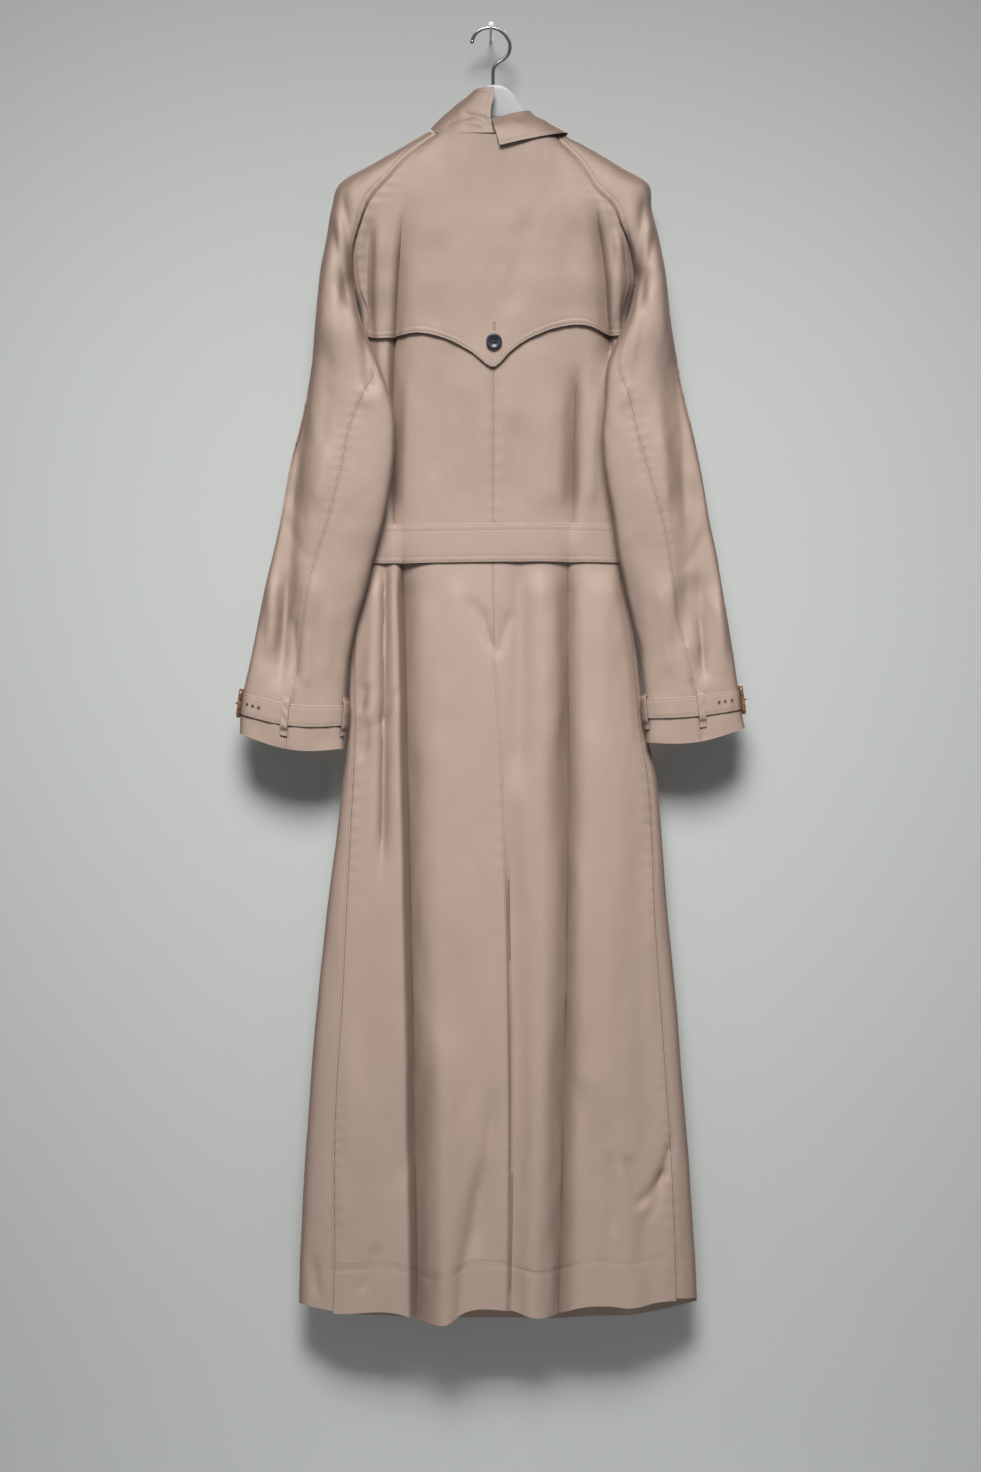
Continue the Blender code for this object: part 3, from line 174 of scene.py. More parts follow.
# Yoke hem: two scallops and a point under the button
YOKE_COLUMNS = "x z".split()
YOKE = ((-150, -341), (-126, -350), (-104, -347), (-84, -344), (-52, -351), (-20, -368),
        (5, -383), (22, -367), (50, -348), (80, -338), (108, -336), (132, -345), (155, -344))

# Folds of the back. A path through three points, how wide the fold falls away on its left
# and right, and its height: + for a ridge, - for a valley
FOLD_COLUMNS = "z1 x1 z2 x2 z3 x3 left right height".split()
FOLD_SHARP = -11.5               # valleys this deep end in a sharp line, the rest are round
BACK_FOLDS = (
    (-205, -136, -260, -138, -345, -138, 8, 8, -5),
    (-205, -124, -270, -125, -420, -124, 8, 12, 5),
    (-185, -97, -290, -106, -590, -107, 5, 14, -12.5),
    (-185, 117, -270, 130, -400, 137, 14, 5, -12),
    (-215, 146, -280, 144, -345, 141, 7, 10, 6),
    (-372, 99, -450, 96, -590, 94, 14, 7, -11.6),
    (-425, 33, -490, 30, -590, 30, 13, 9, -2.5),
    (-400, -28, -480, -28, -590, -28, 14, 14, -2),
    (-400, 63, -480, 63, -590, 62, 12, 12, 2),
    (-575, -120, -740, -121, -980, -124, 5, 7, -8),
    (-575, -101, -1000, -91, -1480, -83, 6, 19, -20),
    (-1100, -50, -1300, -49, -1480, -48, 22, 16, 6),
    (-580, 30, -700, 32, -880, 32, 10, 12, -6),
    (-840, 18, -1120, 24, -1480, 23, 3, 24, -7),
    (-580, 57, -1000, 57, -1480, 48, 18, 18, 4),
    (-575, 88, -1000, 87, -1480, 76, 17, 13, -18),
    (-580, 128, -1000, 130, -1480, 138, 26, 26, 5),
)
# The deepest folds, top to bottom, which the sheets' columns follow
MAIN_FOLDS = {"left": (2, 2, 10), "right": (3, 5, 15)}
FOLD_PART = 0.5                  # the part of a sheet's width at which that column lies

# Finer creases and soft troughs of the back, in the same columns
BACK_CREASES = (
    (-200, 42, -260, 33, -330, 21, 9, 9, -2.8),
    (-225, -60, -280, -66, -350, -72, 14, 14, -1.8),
    (-205, 96, -270, 92, -340, 88, 13, 13, -2),
    (-240, 8, -300, 4, -370, 3, 10, 10, -1),
    (-372, 3, -450, 3, -560, 3, 5, 5, -1.2),
    (-385, -92, -460, -96, -560, -99, 6, 6, 2),
    (-395, 122, -470, 117, -560, 112, 8, 8, 2.8),
    (-400, 84, -470, 80, -560, 78, 7, 7, 1.8),
    (-372, -60, -430, -62, -520, -66, 9, 9, -1.5),
    (-640, -22, -672, -10, -706, 2, 5, 5, -2.2),
    (-652, -9, -680, -3, -712, 3, 4, 4, -1.6),
    (-655, 26, -682, 16, -716, 7, 5, 5, -1.8),
    (-604, -62, -700, -66, -830, -70, 12, 12, -2),
    (-604, -40, -680, -38, -800, -36, 11, 11, 1.5),
    (-604, 72, -700, 74, -850, 74, 9, 9, 2),
    (-604, 108, -700, 113, -820, 118, 9, 9, -2.2),
    (-604, -130, -690, -133, -820, -138, 8, 8, 2.5),
    (-740, -140, -758, -143, -776, -148, 6, 6, -2.5),
    (-780, -137, -805, -141, -830, -147, 6, 6, -2.5),
    (-744, -108, -768, -116, -795, -128, 6, 6, -1.9),
    (-1190, 6, -1300, -6, -1400, -22, 8, 11, -4.5),
    (-1270, -8, -1350, -22, -1480, -40, 8, 10, -4.0),
    (-1150, -60, -1230, -84, -1330, -112, 12, 12, -1.8),
    (-1000, -40, -1120, -30, -1260, -26, 15, 15, -1.6),
    (-1190, 128, -1310, 133, -1480, 141, 14, 12, -4.5),
    (-1270, 152, -1305, 164, -1340, 178, 6, 6, -3.4),
    (-1330, 170, -1400, 178, -1480, 186, 9, 8, -3.6),
    (-1180, 100, -1250, 110, -1330, 122, 10, 10, -1.8),
    (-1250, 207, -1308, 193, -1362, 178, 5, 5, -3.4),
    (-1286, 203, -1312, 186, -1340, 162, 4.5, 4.5, -3.2),
    (-1262, 135, -1318, 138, -1372, 141, 5, 4, -3.4),
    (-1384, -204, -1410, -200, -1438, -195, 4, 4, -2.4),
    (-1372, -128, -1400, -136, -1432, -146, 5, 5, -2.2),
    (-900, 96, -1020, 104, -1160, 106, 14, 14, 1.8),
    (-1000, 160, -1150, 172, -1320, 182, 13, 13, -2),
    (-880, -122, -1040, -138, -1230, -150, 14, 14, -2.2),
    (-1120, -150, -1250, -162, -1380, -172, 11, 11, 1.9),
)

# Folds of the fronts, in the same columns
FRONT_FOLDS = (
    (-600, 140, -1000, 150, -1480, 160, 24, 22, -9),
    (-600, -132, -1000, -142, -1480, -152, 22, 24, -9),
    (-600, -70, -1000, -76, -1480, -84, 20, 26, -6),
    (-620, 62, -1000, 70, -1480, 82, 24, 18, -6),
    (-640, 104, -1000, 112, -1480, 120, 22, 22, 4),
    (-640, -100, -1000, -108, -1480, -116, 22, 22, 4),
    (-190, -92, -330, -96, -540, -84, 12, 20, -5),
    (-190, 96, -330, 98, -540, 88, 20, 12, -5),
)

# Folds of the sleeves, in the same columns
ARM_LEFT_FOLDS = (
    (-172, -170, -235, -161, -312, -154, 7, 7, -4),
    (-205, -183, -260, -172, -330, -160, 8, 6, -5),
    (-320, -210, -520, -221, -765, -242, 10, 11, -9.5),
    (-520, -234, -600, -242, -720, -245, 9, 9, 4),
    (-500, -226, -620, -233, -760, -236, 12, 12, -4),
    (-440, -185, -560, -196, -700, -204, 16, 12, 4),
    (-330, -146, -370, -141, -420, -135, 8, 8, -5),
)
ARM_RIGHT_FOLDS = (
    (-172, 176, -235, 170, -300, 166, 7, 7, -4),
    (-215, 188, -260, 180, -330, 168, 6, 8, -5),
    (-310, 201, -500, 219, -720, 218, 13, 13, -8),
    (-560, 236, -650, 239, -750, 238, 9, 9, -5),
    (-500, 230, -600, 232, -700, 230, 12, 12, -4),
    (-440, 242, -600, 259, -720, 263, 10, 11, 4),
    (-400, 190, -540, 200, -700, 206, 12, 9, 4),
)
# Finer creases of the sleeves, in the same columns
ARM_LEFT_CREASES = (
    (-200, -176, -250, -172, -330, -176, 7, 7, 2.5),
    (-300, -176, -350, -160, -420, -138, 9, 9, -2.8),
    (-330, -158, -380, -150, -440, -136, 6, 6, 2),
    (-345, -186, -410, -186, -500, -192, 10, 10, -2),
    (-430, -150, -500, -152, -600, -163, 10, 10, 1.8),
    (-500, -225, -560, -233, -660, -246, 9, 9, -1.9),
    (-560, -128, -620, -138, -690, -150, 8, 8, -2),
    (-545, -236, -575, -222, -610, -200, 7, 7, -1.5),
    (-610, -248, -660, -250, -720, -252, 8, 8, 1.6),
    (-640, -178, -690, -184, -742, -190, 7, 7, 1.8),
    (-660, -222, -700, -221, -748, -219, 5, 5, -2.8),
    (-678, -206, -712, -207, -748, -208, 5, 5, 2),
)
ARM_RIGHT_CREASES = (
    (-200, 182, -250, 178, -330, 182, 7, 7, 2.5),
    (-300, 184, -350, 170, -420, 150, 9, 9, -2.8),
    (-330, 168, -380, 160, -440, 146, 6, 6, 2),
    (-345, 196, -410, 200, -500, 206, 10, 10, -2),
    (-430, 165, -500, 166, -600, 178, 10, 10, 1.8),
    (-500, 232, -560, 240, -660, 254, 9, 9, -1.9),
    (-570, 150, -620, 158, -700, 170, 8, 8, -2),
    (-560, 246, -590, 232, -620, 212, 7, 7, -1.5),
    (-620, 190, -670, 196, -738, 202, 7, 7, 1.9),
    (-655, 236, -700, 240, -744, 244, 5, 5, -2.5),
    (-690, 222, -715, 224, -744, 227, 5, 5, 2),
    (-640, 258, -690, 262, -738, 266, 7, 7, 1.5),
)


def column(table, columns, name):
    """One named column of a table."""
    return np.array([row[columns.index(name)] for row in table], dtype=float)


def smooth(keys, values, at):
    """A soft curve through the values; keys may rise or fall."""
    keys = np.asarray(keys, dtype=float)
    values = np.asarray(values, dtype=float)
    if keys[0] > keys[-1]:
        keys = keys[::-1]
        values = values[::-1]
    at = np.clip(np.asarray(at, dtype=float), keys[0], keys[-1])
    index = np.clip(np.searchsorted(keys, at) - 1, 0, len(keys) - 2)
    slope = np.gradient(values, keys)
    length = keys[index + 1] - keys[index]
    part = (at - keys[index]) / length
    rise = part * part * (3 - 2 * part)
    start = part * (1 - part) ** 2 * length * slope[index]
    end = part * part * (part - 1) * length * slope[index + 1]
    return values[index] * (1 - rise) + values[index + 1] * rise + start + end


def traced(table, columns, at):
    """The soft curve of a table with two columns: its second column over its first."""
    return smooth(column(table, columns, columns[0]), column(table, columns, columns[1]), at)


def ease(low, high, at):
    """A soft step from 0 at low to 1 at high."""
    part = np.clip((np.asarray(at, dtype=float) - low) / (high - low), 0, 1)
    return part * part * (3 - 2 * part)


def swell(distance, width):
    """A soft bump: 1 in its middle, and nearly gone at twice its width."""
    return np.exp(-(distance / width) ** 2)


def mix(a, b, part):
    """The value a part of the way from a to b."""
    return a + (b - a) * part


def nearest(values, place):
    """The index of the value nearest to a place."""
    return int(np.argmin(np.abs(values - place)))


def unit(values):
    """Vectors brought to a length of one."""
    return values / np.maximum(np.linalg.norm(values, axis=-1, keepdims=True), 1e-9)


def arm(side, row):
    """All columns of an arm's section at a row, which may lie between two rows."""
    table = ARM_LEFT if side == "left" else ARM_RIGHT
    rows = np.arange(len(table))
    return {name: smooth(rows, column(table, ARM_COLUMNS, name), row) for name in ARM_COLUMNS}


# An arm's column that each of the body's side columns continues above the underarm
RAGLAN_COLUMNS = {"": "inner_x", "z": "inner_z", "edge_y": "inner_back", "front_y": "inner_front"}


def body_column(name, row):
    """A column of the body's section, joined from the chest's and the skirt's tables."""
    side, _, part = name.partition("_")
    if part == "seam":
        chest = np.zeros(UNDERARM_ROW + 1)
    elif side in ("left", "right"):
        chest = arm(side, np.arange(UNDERARM_ROW + 1))[RAGLAN_COLUMNS[part]]
    elif name == "square":
        chest = np.full(UNDERARM_ROW + 1, 2.0)
    else:
        chest = column(CHEST, CHEST_COLUMNS, name)
    if name in SKIRT_COLUMNS or part == "z":
        skirt = column(SKIRT, SKIRT_COLUMNS, part if part == "z" else name)
    elif name == "round":
        skirt = 1 / column(SKIRT, SKIRT_COLUMNS, "square")
    else:
        skirt = np.full(len(SKIRT), SIDE_Y if part else chest[-1])
    values = np.concatenate((chest, skirt))
    return smooth(np.arange(len(values)), values, row)


def between_sides(part_name, row, part=0.5):
    """A value part of the way from the body's left side to its right side."""
    return mix(body_column("left" + part_name, row), body_column("right" + part_name, row), part)


def row_at(z):
    """The body row at a height below the underarm."""
    heights = np.concatenate(([UNDERARM_Z], column(SKIRT, SKIRT_COLUMNS, "z")))
    return UNDERARM_ROW + np.interp(-z, -heights, np.arange(len(heights)))


def fold_path(fold, z):
    """How far down a fold a height is, 0 to 1, and where the fold's line is there."""
    length = fold["z1"] - fold["z3"]
    part = np.clip((fold["z1"] - z) / length, 0, 1)
    middle = (fold["z1"] - fold["z2"]) / length
    first = (part - middle) * (part - 1) / middle
    second = part * (part - 1) / (middle * (middle - 1))
    third = part * (part - middle) / (1 - middle)
    return part, fold["x1"] * first + fold["x2"] * second + fold["x3"] * third


def fold_height(folds, x, z):
    """How far the cloth stands out at a place, summed over the folds that cross it. The
    deepest valleys come to a sharp line and the other folds are round. Each falls away by its
    own width on either side. The belt holds the ridges down and leaves the valleys."""
    ridges = np.zeros_like(np.asarray(x, dtype=float))
    valleys = np.zeros_like(ridges)
    for row in folds:
        fold = dict(zip(FOLD_COLUMNS, row))
        part, path = fold_path(fold, z)
        length = fold["z1"] - fold["z3"]
        starts_at_belt = -28 < fold["z1"] - BELT_Z < 22
        ends_at_belt = -18 < fold["z3"] - BELT_Z < 2
        start = 45 / length if starts_at_belt else 0.25
        end = 40 / length if ends_at_belt else 0.22
        fade = ease(0, start, part) * (1 if fold["z3"] < HEM_Z else ease(1, 1 - end, part))
        beside = np.abs(x - path) / np.where(x < path, fold["left"], fold["right"])
        soft = np.exp(-(np.sqrt(beside ** 2 + 0.01) - 0.1) ** 1.5)
        sharp = np.clip(1 - beside / 2, 0, 1) ** 2
        height = fold["height"] * fade * (sharp if fold["height"] < FOLD_SHARP else soft)
        if fold["height"] > 0:
            ridges = ridges + height
        else:
            valleys = valleys + height
    belted = ease(60, 26, np.abs(z - BELT_Z))
    return ridges * (1 - 0.9 * belted) + valleys * (1 - 0.4 * belted)


def main_fold_x(side, z, usual):
    """Where a half's deepest fold runs at a height. Near the shoulders it is left out."""
    upper, middle, lower = (dict(zip(FOLD_COLUMNS, BACK_FOLDS[k])) for k in MAIN_FOLDS[side])
    along = mix(fold_path(upper, z)[1], fold_path(middle, z)[1], ease(-350, -400, z))
    along = mix(along, fold_path(lower, z)[1], ease(-560, -600, z))
    return float(mix(usual, along, ease(upper["z1"] + 10, upper["z1"] - 45, z)))


def follow_fold(part, side, z, start, end):
    """The x of a row's columns, drawn aside so that one column follows the deepest fold."""
    usual = mix(start, end, FOLD_PART)
    at = main_fold_x(side, z, usual)
    return np.interp(part, [0, FOLD_PART, 1], [start, at, end])


def vent_x(z):
    """Where the centre back line runs at a height: straight, then along the vent's edge."""
    return np.where(z > VENT_TOP_Z, CENTRE_BACK_X, traced(VENT, VENT_COLUMNS, z))


def body_point(row, x, half):
    """A point of the body's middle surface, on the back or front, as x, y, z arrays."""
    left = body_column("left", row)
    right = body_column("right", row)
    across = np.clip((x - left) / (right - left), 0, 1)
    off = np.abs(2 * across - 1)
    edge = between_sides("_edge_y" if half == "back" else "_front_y", row, across)
    bow = (1 - off ** body_column("square", row)) ** body_column("round", row)
    z = between_sides("_z", row, across)
    hem = ease(HEM_Z + 170, HEM_Z, z)
    if half == "back":
        swing = traced(HEM, HEM_COLUMNS, x) - HEM_Z
        fold = -fold_height(BACK_FOLDS + BACK_CREASES, x, z)
    else:
        swing = 2 - FRONT_HEM_DROP * (1 - off ** 4)
        fold = fold_height(FRONT_FOLDS, x, z)
        z = z - body_column("drop", row) * (1 - off ** 2)
    at_edge = ease(0, 0.05, across) * ease(1, 0.95, across)
    y = edge + (body_column(half, row) - edge) * bow + fold * at_edge
    return np.stack(np.broadcast_arrays(x, y, z + hem * swing), axis=-1)


def arm_point(side, row, turn, over=None):
    """A point of an arm's middle surface. turn runs 0 at the outer edge, over the back,
    half a circle at the raglan seam or inner edge, and on over the front. over tells
    back from front where a turn is on the line between them."""
    part = arm(side, row)
    across = (1 - np.cos(turn)) / 2
    tube = ease(3, UNDERARM_ROW, row)
    lean = mix(np.sqrt(across * (2 - across)), across, tube)
    bow = np.abs(np.sin(turn)) ** (1 - 0.25 * tube)
    if over is None:
        over = np.sin(turn) > 1e-9
    back = part["outer_y"] + (part["inner_back"] - part["outer_y"]) * lean - part["back"] * bow
    front = part["outer_y"] + (part["inner_front"] - part["outer_y"]) * lean + part["front"] * bow
    x = mix(part["outer_x"], part["inner_x"], across)
    z = mix(part["outer_z"], part["inner_z"], across) - part["sag"] * np.sin(math.pi * across)
    folds = ARM_LEFT_FOLDS + ARM_LEFT_CREASES if side == "left" else ARM_RIGHT_FOLDS + ARM_RIGHT_CREASES
    back = back - fold_height(folds, x, z) * ease(0, 0.35, bow)
    return np.stack(np.broadcast_arrays(x, np.where(over, back, front), z), axis=-1)


def normals_of(grid, inside, first, last):
    """Unit normals of a sheet's grid, pointing away from the inside points, one for each
    row. first and last hold, for each row, the points just before and just after the
    sheet's two side edges, so that two sheets that share a seam share its normals."""
    along = np.empty_like(grid)
    along[:, 1:-1] = grid[:, 2:] - grid[:, :-2]
    along[:, 0] = first[:, 1] - first[:, 0]
    along[:, -1] = last[:, 1] - last[:, 0]
    normal = unit(np.cross(unit(along), np.gradient(grid, axis=0)))
    if np.mean(np.sum(normal * (grid - inside[:, None, :]), axis=2)) < 0:
        normal = -normal
    return normal


def pull_in(middle, first, last):
    """Moves a sheet's two side edges inwards, to leave the gap of a seam."""
    moved = middle.copy()
    for edge, near, gap in ((0, 1, first), (-1, -2, last)):
        step = middle[:, near] - middle[:, edge]
        tangent = unit(np.gradient(middle[:, edge], axis=0))
        step = step - tangent * np.sum(step * tangent, axis=1, keepdims=True)
        length = np.maximum(np.linalg.norm(step, axis=1, keepdims=True), 1e-9)
        gap = np.broadcast_to(np.asarray(gap, dtype=float).reshape(-1, 1), length.shape)
        moved[:, edge] += step / length * np.minimum(gap, length * 0.45)
    return moved


# What is added to half a seam's gap: everywhere, at the underarm, just below it, at the neck
GAP_EASES = (0.06, 0.75, 0.25, 0.1)


def seam_gap(rows):
    """Half a seam's gap for each row, wider where three pieces meet: neck and underarm."""
    rows = np.asarray(rows, dtype=float)
    always, corner, below, neck = GAP_EASES
    return (SEAM / 2 + always + corner * swell(rows - UNDERARM_ROW, 0.8)
            + below * swell(rows - UNDERARM_ROW - 2, 1.2) + neck * swell(rows, 1))


def body_middle(row):
    """The point in the middle of the body's section at a row."""
    return np.array((between_sides("", row), SIDE_Y, between_sides("_z", row)))


def raglan_pair(side, row, half):
    """The points just outside and just inside of a raglan seam: on sleeve and body."""
    sign = INWARDS[side]
    turn = math.pi - NEAR if half == "back" else math.pi + NEAR
    inside = body_point(row, float(body_column(side, row)) + sign * 4, half)
    return arm_point(side, row, turn), inside


def side_pair(side, row):
    """The points just in front of and just behind a side seam below the underarm."""
    edge = float(body_column(side, row))
    inset = float(body_column(side + "_seam", row))
    sign = INWARDS[side]
    behind = body_point(row, edge + sign * (inset + 4), "back")
    if inset > 8:
        return body_point(row, edge + sign * (inset - 4), "back"), behind
    return body_point(row, edge + sign * 1.5, "front"), behind


def edge_distance(grid, edge):
    """How far each point lies from the sheet's first or last column, square to it, and
    how far along that edge its row starts."""
    line = grid[:, edge]
    tangent = unit(np.gradient(line, axis=0))
    away = grid - line[:, None]
    away = away - tangent[:, None] * np.sum(away * tangent[:, None], axis=2, keepdims=True)
    along = np.concatenate(([0], np.cumsum(np.linalg.norm(np.diff(line, axis=0), axis=1))))
    return np.linalg.norm(away, axis=2), along[:, None]


def gone_from(line, grid):
    """How far each point of a sheet lies from the point of a line in its row or column."""
    return np.linalg.norm(grid - line, axis=2)


def drawn_in(away, places, depth, width=STITCH_DRAW):
    """How far rows of stitches draw the cloth in, where they lie this far from its edge."""
    return depth * sum(swell(away - place, width) for place in places)


def seam_relief(grid, edge, depth, rows=(), pucker=0.3, wave=13.0, phase=0.0):
    """Cloth beside a seam: it dips into the seam, is drawn in under each row of stitches
    and puckers a little along them."""
    away, along = edge_distance(grid, edge)
    relief = -depth * swell(away, 1.0) - drawn_in(away, rows, 0.28)
    if len(rows) == 2:
        relief = relief + 0.3 * swell(away - (rows[0] + rows[1]) / 2, 1.8)
    ripple = np.sin(2 * math.pi * (along / wave + phase) + 1.9 * np.sin(along / 37.0 + phase))
    ripple = ripple * (0.6 + 0.4 * np.sin(along / 61.0 + 2.0 * phase))
    return relief + pucker * ripple * swell(away, 11.0)


def unevenness(grid, across, down, height, seed):
    """The soft unevenness of hung cloth, longer down the drape than across it."""
    found = np.empty(grid.shape[:2])
    for index in np.ndindex(found.shape):
        x, y, z = grid[index]
        found[index] = noise.noise(Vector((x / across + seed, y / across, z / down - seed)))
    return height * found


def uneven_wave(x, wave, sway, long):
    """A wave whose length drifts, for the small pulls that stitches leave in cloth."""
    return np.sin(x / wave + sway * np.sin(x / long))


def mesh_piece(name, points, faces, finish, angle=None):
    """A piece from points in millimetres, which rides on the coat's one body."""
    mesh = bpy.data.meshes.new(name)
    mesh.from_pydata((np.asarray(points, dtype=float) * 0.001).tolist(), [], faces)
    mesh.materials.append(finish)
    mesh.shade_smooth()
    if angle:
        mesh.set_sharp_from_angle(angle=math.radians(angle))
    piece = bpy.data.objects.new(name, mesh)
    bpy.context.scene.collection.objects.link(piece)
    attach(piece, "root")
    return piece


def lay_cloth(name, node, shown, normal, wall=SHELL):
    """One cloth piece: its sheet moved out and in by half its thickness, with its rim. It takes its solid's
    place."""
    count = shown.shape[0] * shown.shape[1]
    points = np.concatenate((shown + normal * wall / 2, shown - normal * wall / 2)).reshape(-1, 3)
    corner = np.arange(count).reshape(shown.shape[:2])
    outer = np.stack((corner[:-1, :-1], corner[:-1, 1:], corner[1:, 1:], corner[1:, :-1]), axis=-1)
    outer = outer.reshape(-1, 4)
    rim = np.concatenate((corner[0, :-1], corner[:-1, -1], corner[-1, :0:-1], corner[:0:-1, 0]))
    after = np.roll(rim, -1)
    border = np.stack((rim, rim + count, after + count, after), axis=-1)
    faces = np.concatenate((outer, outer[:, ::-1] + count, border))
    a, b, c = (points[outer[:, k]] for k in (0, 1, 2))
    if np.sum(np.cross(b - a, c - a) * normal[:-1, :-1].reshape(-1, 3)) < 0:
        faces = faces[:, ::-1]
    piece = mesh_piece(name, points, faces.tolist(), finish=trench_cloth, angle=52)
    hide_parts(node)


def line_at(distance, away, shown, normal, lift=SHELL / 2):
    """A line on a sheet's outer face, found in each of its rows where the row is this far
    away from an edge, with the face's normals there."""
    line, facing = (np.array([[np.interp(distance, gone, row[:, k]) for k in range(3)]
                              for gone, row in zip(away, grid)]) for grid in (shown, normal))
    facing = unit(facing)
    return line + facing * lift, facing


def run_beside(shown, normal, edge, distance):
    """A line on a sheet's outer face at a distance from one of its side edges."""
    order = slice(None) if edge == 0 else slice(None, None, -1)
    away = np.maximum.accumulate(edge_distance(shown, edge)[0][:, order], axis=1)
    return line_at(distance, away, shown[:, order], normal[:, order])


def run_along(shown, normal, index, inset, lift=SHELL / 2):
    """A line on a sheet's outer face along one of its rows."""
    facing = normal[index, inset:-inset]
    return shown[index, inset:-inset] + facing * lift, facing


def circle(sides):
    """Directions round a circle, as pairs of cosine and sine."""
    turns = [2 * math.pi * k / sides for k in range(sides)]
    return [(math.cos(turn), math.sin(turn)) for turn in turns]


def tube_faces(rings, sides, looped=False, flipped=False, start=0):
    """Faces between rings of points, looped back to the first ring or closed at both ends."""
    faces = []
    for ring in range(rings if looped else rings - 1):
        here = start + ring * sides
        there = start + (ring + 1) % rings * sides
        for k in range(sides):
            after = (k + 1) % sides
            faces.append((here + k, here + after, there + after, there + k))
    if not looped:
        last = start + (rings - 1) * sides
        faces += [tuple(range(start + sides - 1, start - 1, -1)), tuple(range(last, last + sides))]
    return [face[::-1] for face in faces] if flipped else faces


def sew(name, runs, finish, pitch=3.6, length=2.6, thick=0.5, bite=0.12):
    """Rows of stitches: short rounded threads that lie on the cloth, one after another."""
    stations = ((-0.5, 0.25, -bite), (-0.34, 0.95, 0.04), (0.34, 0.95, 0.04), (0.5, 0.25, -bite))
    ring = circle(4)
    points = []
    faces = []
    for line, facing in runs:
        gone = np.concatenate(([0], np.cumsum(np.linalg.norm(np.diff(line, axis=0), axis=1))))
        for place in np.arange(pitch, gone[-1] - pitch / 2, pitch):
            centre, beyond, up = (np.array([np.interp(at, gone, values[:, k]) for k in range(3)])
                                  for at, values in ((place, line), (place + 0.8, line), (place, facing)))
            up = unit(up)
            ahead = unit(beyond - centre)
            aside = unit(np.cross(ahead, up))
            faces += tube_faces(4, 4, start=len(points))
            for along, round_size, rise in stations:
                spot = centre + ahead * along * length + up * rise
                points += [spot + (aside * across + up * high) * round_size * thick / 2
                           for across, high in ring]
    mesh_piece(name, points, faces, finish)


def add_node(tree, kind, values=(), links=(), **settings):
    """A shader node with its settings, its inputs' values and what is linked into it."""
    node = tree.nodes.new("ShaderNode" + kind)
    for name, value in settings.items():
        setattr(node, name, value)
    for name, value in dict(values).items():
        node.inputs[name].default_value = value
    for name, source in dict(links).items():
        tree.links.new(source, node.inputs[name])
    return node


def maths(tree, operation, first, second=None, third=None):
    """A shader node that reckons with values or with other nodes' outputs."""
    given = {k: value for k, value in enumerate((first, second, third)) if value is not None}
    values = {k: value for k, value in given.items() if isinstance(value, (int, float))}
    links = {k: value for k, value in given.items() if k not in values}
    return add_node(tree, "Math", values, links, operation=operation).outputs[0]


def weave_group():
    """Weave seen up close: fine crossed threads and faint slubs, as a height and a tone."""
    group = bpy.data.node_groups.new("woven_threads", "ShaderNodeTree")
    sockets = (("Threads per mm", "INPUT"), ("Slub", "INPUT"), ("Height", "OUTPUT"), ("Tone", "OUTPUT"))
    for name, way in sockets:
        group.interface.new_socket(name, in_out=way, socket_type="NodeSocketFloat")
    given = group.nodes.new("NodeGroupInput").outputs
    out = group.nodes.new("NodeGroupOutput").inputs
    place = add_node(group, "TexCoord").outputs["Object"]
    per_metre = maths(group, "MULTIPLY", given["Threads per mm"], 1000)
    scaled = add_node(group, "VectorMath", {}, {0: place, "Scale": per_metre}, operation="SCALE")
    split = add_node(group, "SeparateXYZ", {}, {0: scaled.outputs[0]})
    warp, weft = (maths(group, "SINE", split.outputs[axis]) for axis in ("X", "Z"))
    crossed = maths(group, "MULTIPLY", warp, weft)
    stretched = add_node(group, "Mapping", {"Scale": (700, 700, 170)}, {0: place})
    slub = add_node(group, "TexNoise", {"Scale": 1.0, "Detail": 3.0}, {"Vector": stretched.outputs[0]})
    height = maths(group, "ADD", crossed, maths(group, "MULTIPLY", slub.outputs["Fac"], given["Slub"]))
    group.links.new(height, out["Height"])
    group.links.new(slub.outputs["Fac"], out["Tone"])
    return group


def new_material(name, values):
    """A material with the values of its shader's own sockets, and the shader's node."""
    made = bpy.data.materials.new(name)
    made.use_nodes = True
    shader = made.node_tree.nodes["Principled BSDF"]
    for socket, value in values.items():
        shader.inputs[socket].default_value = value
    return made, shader


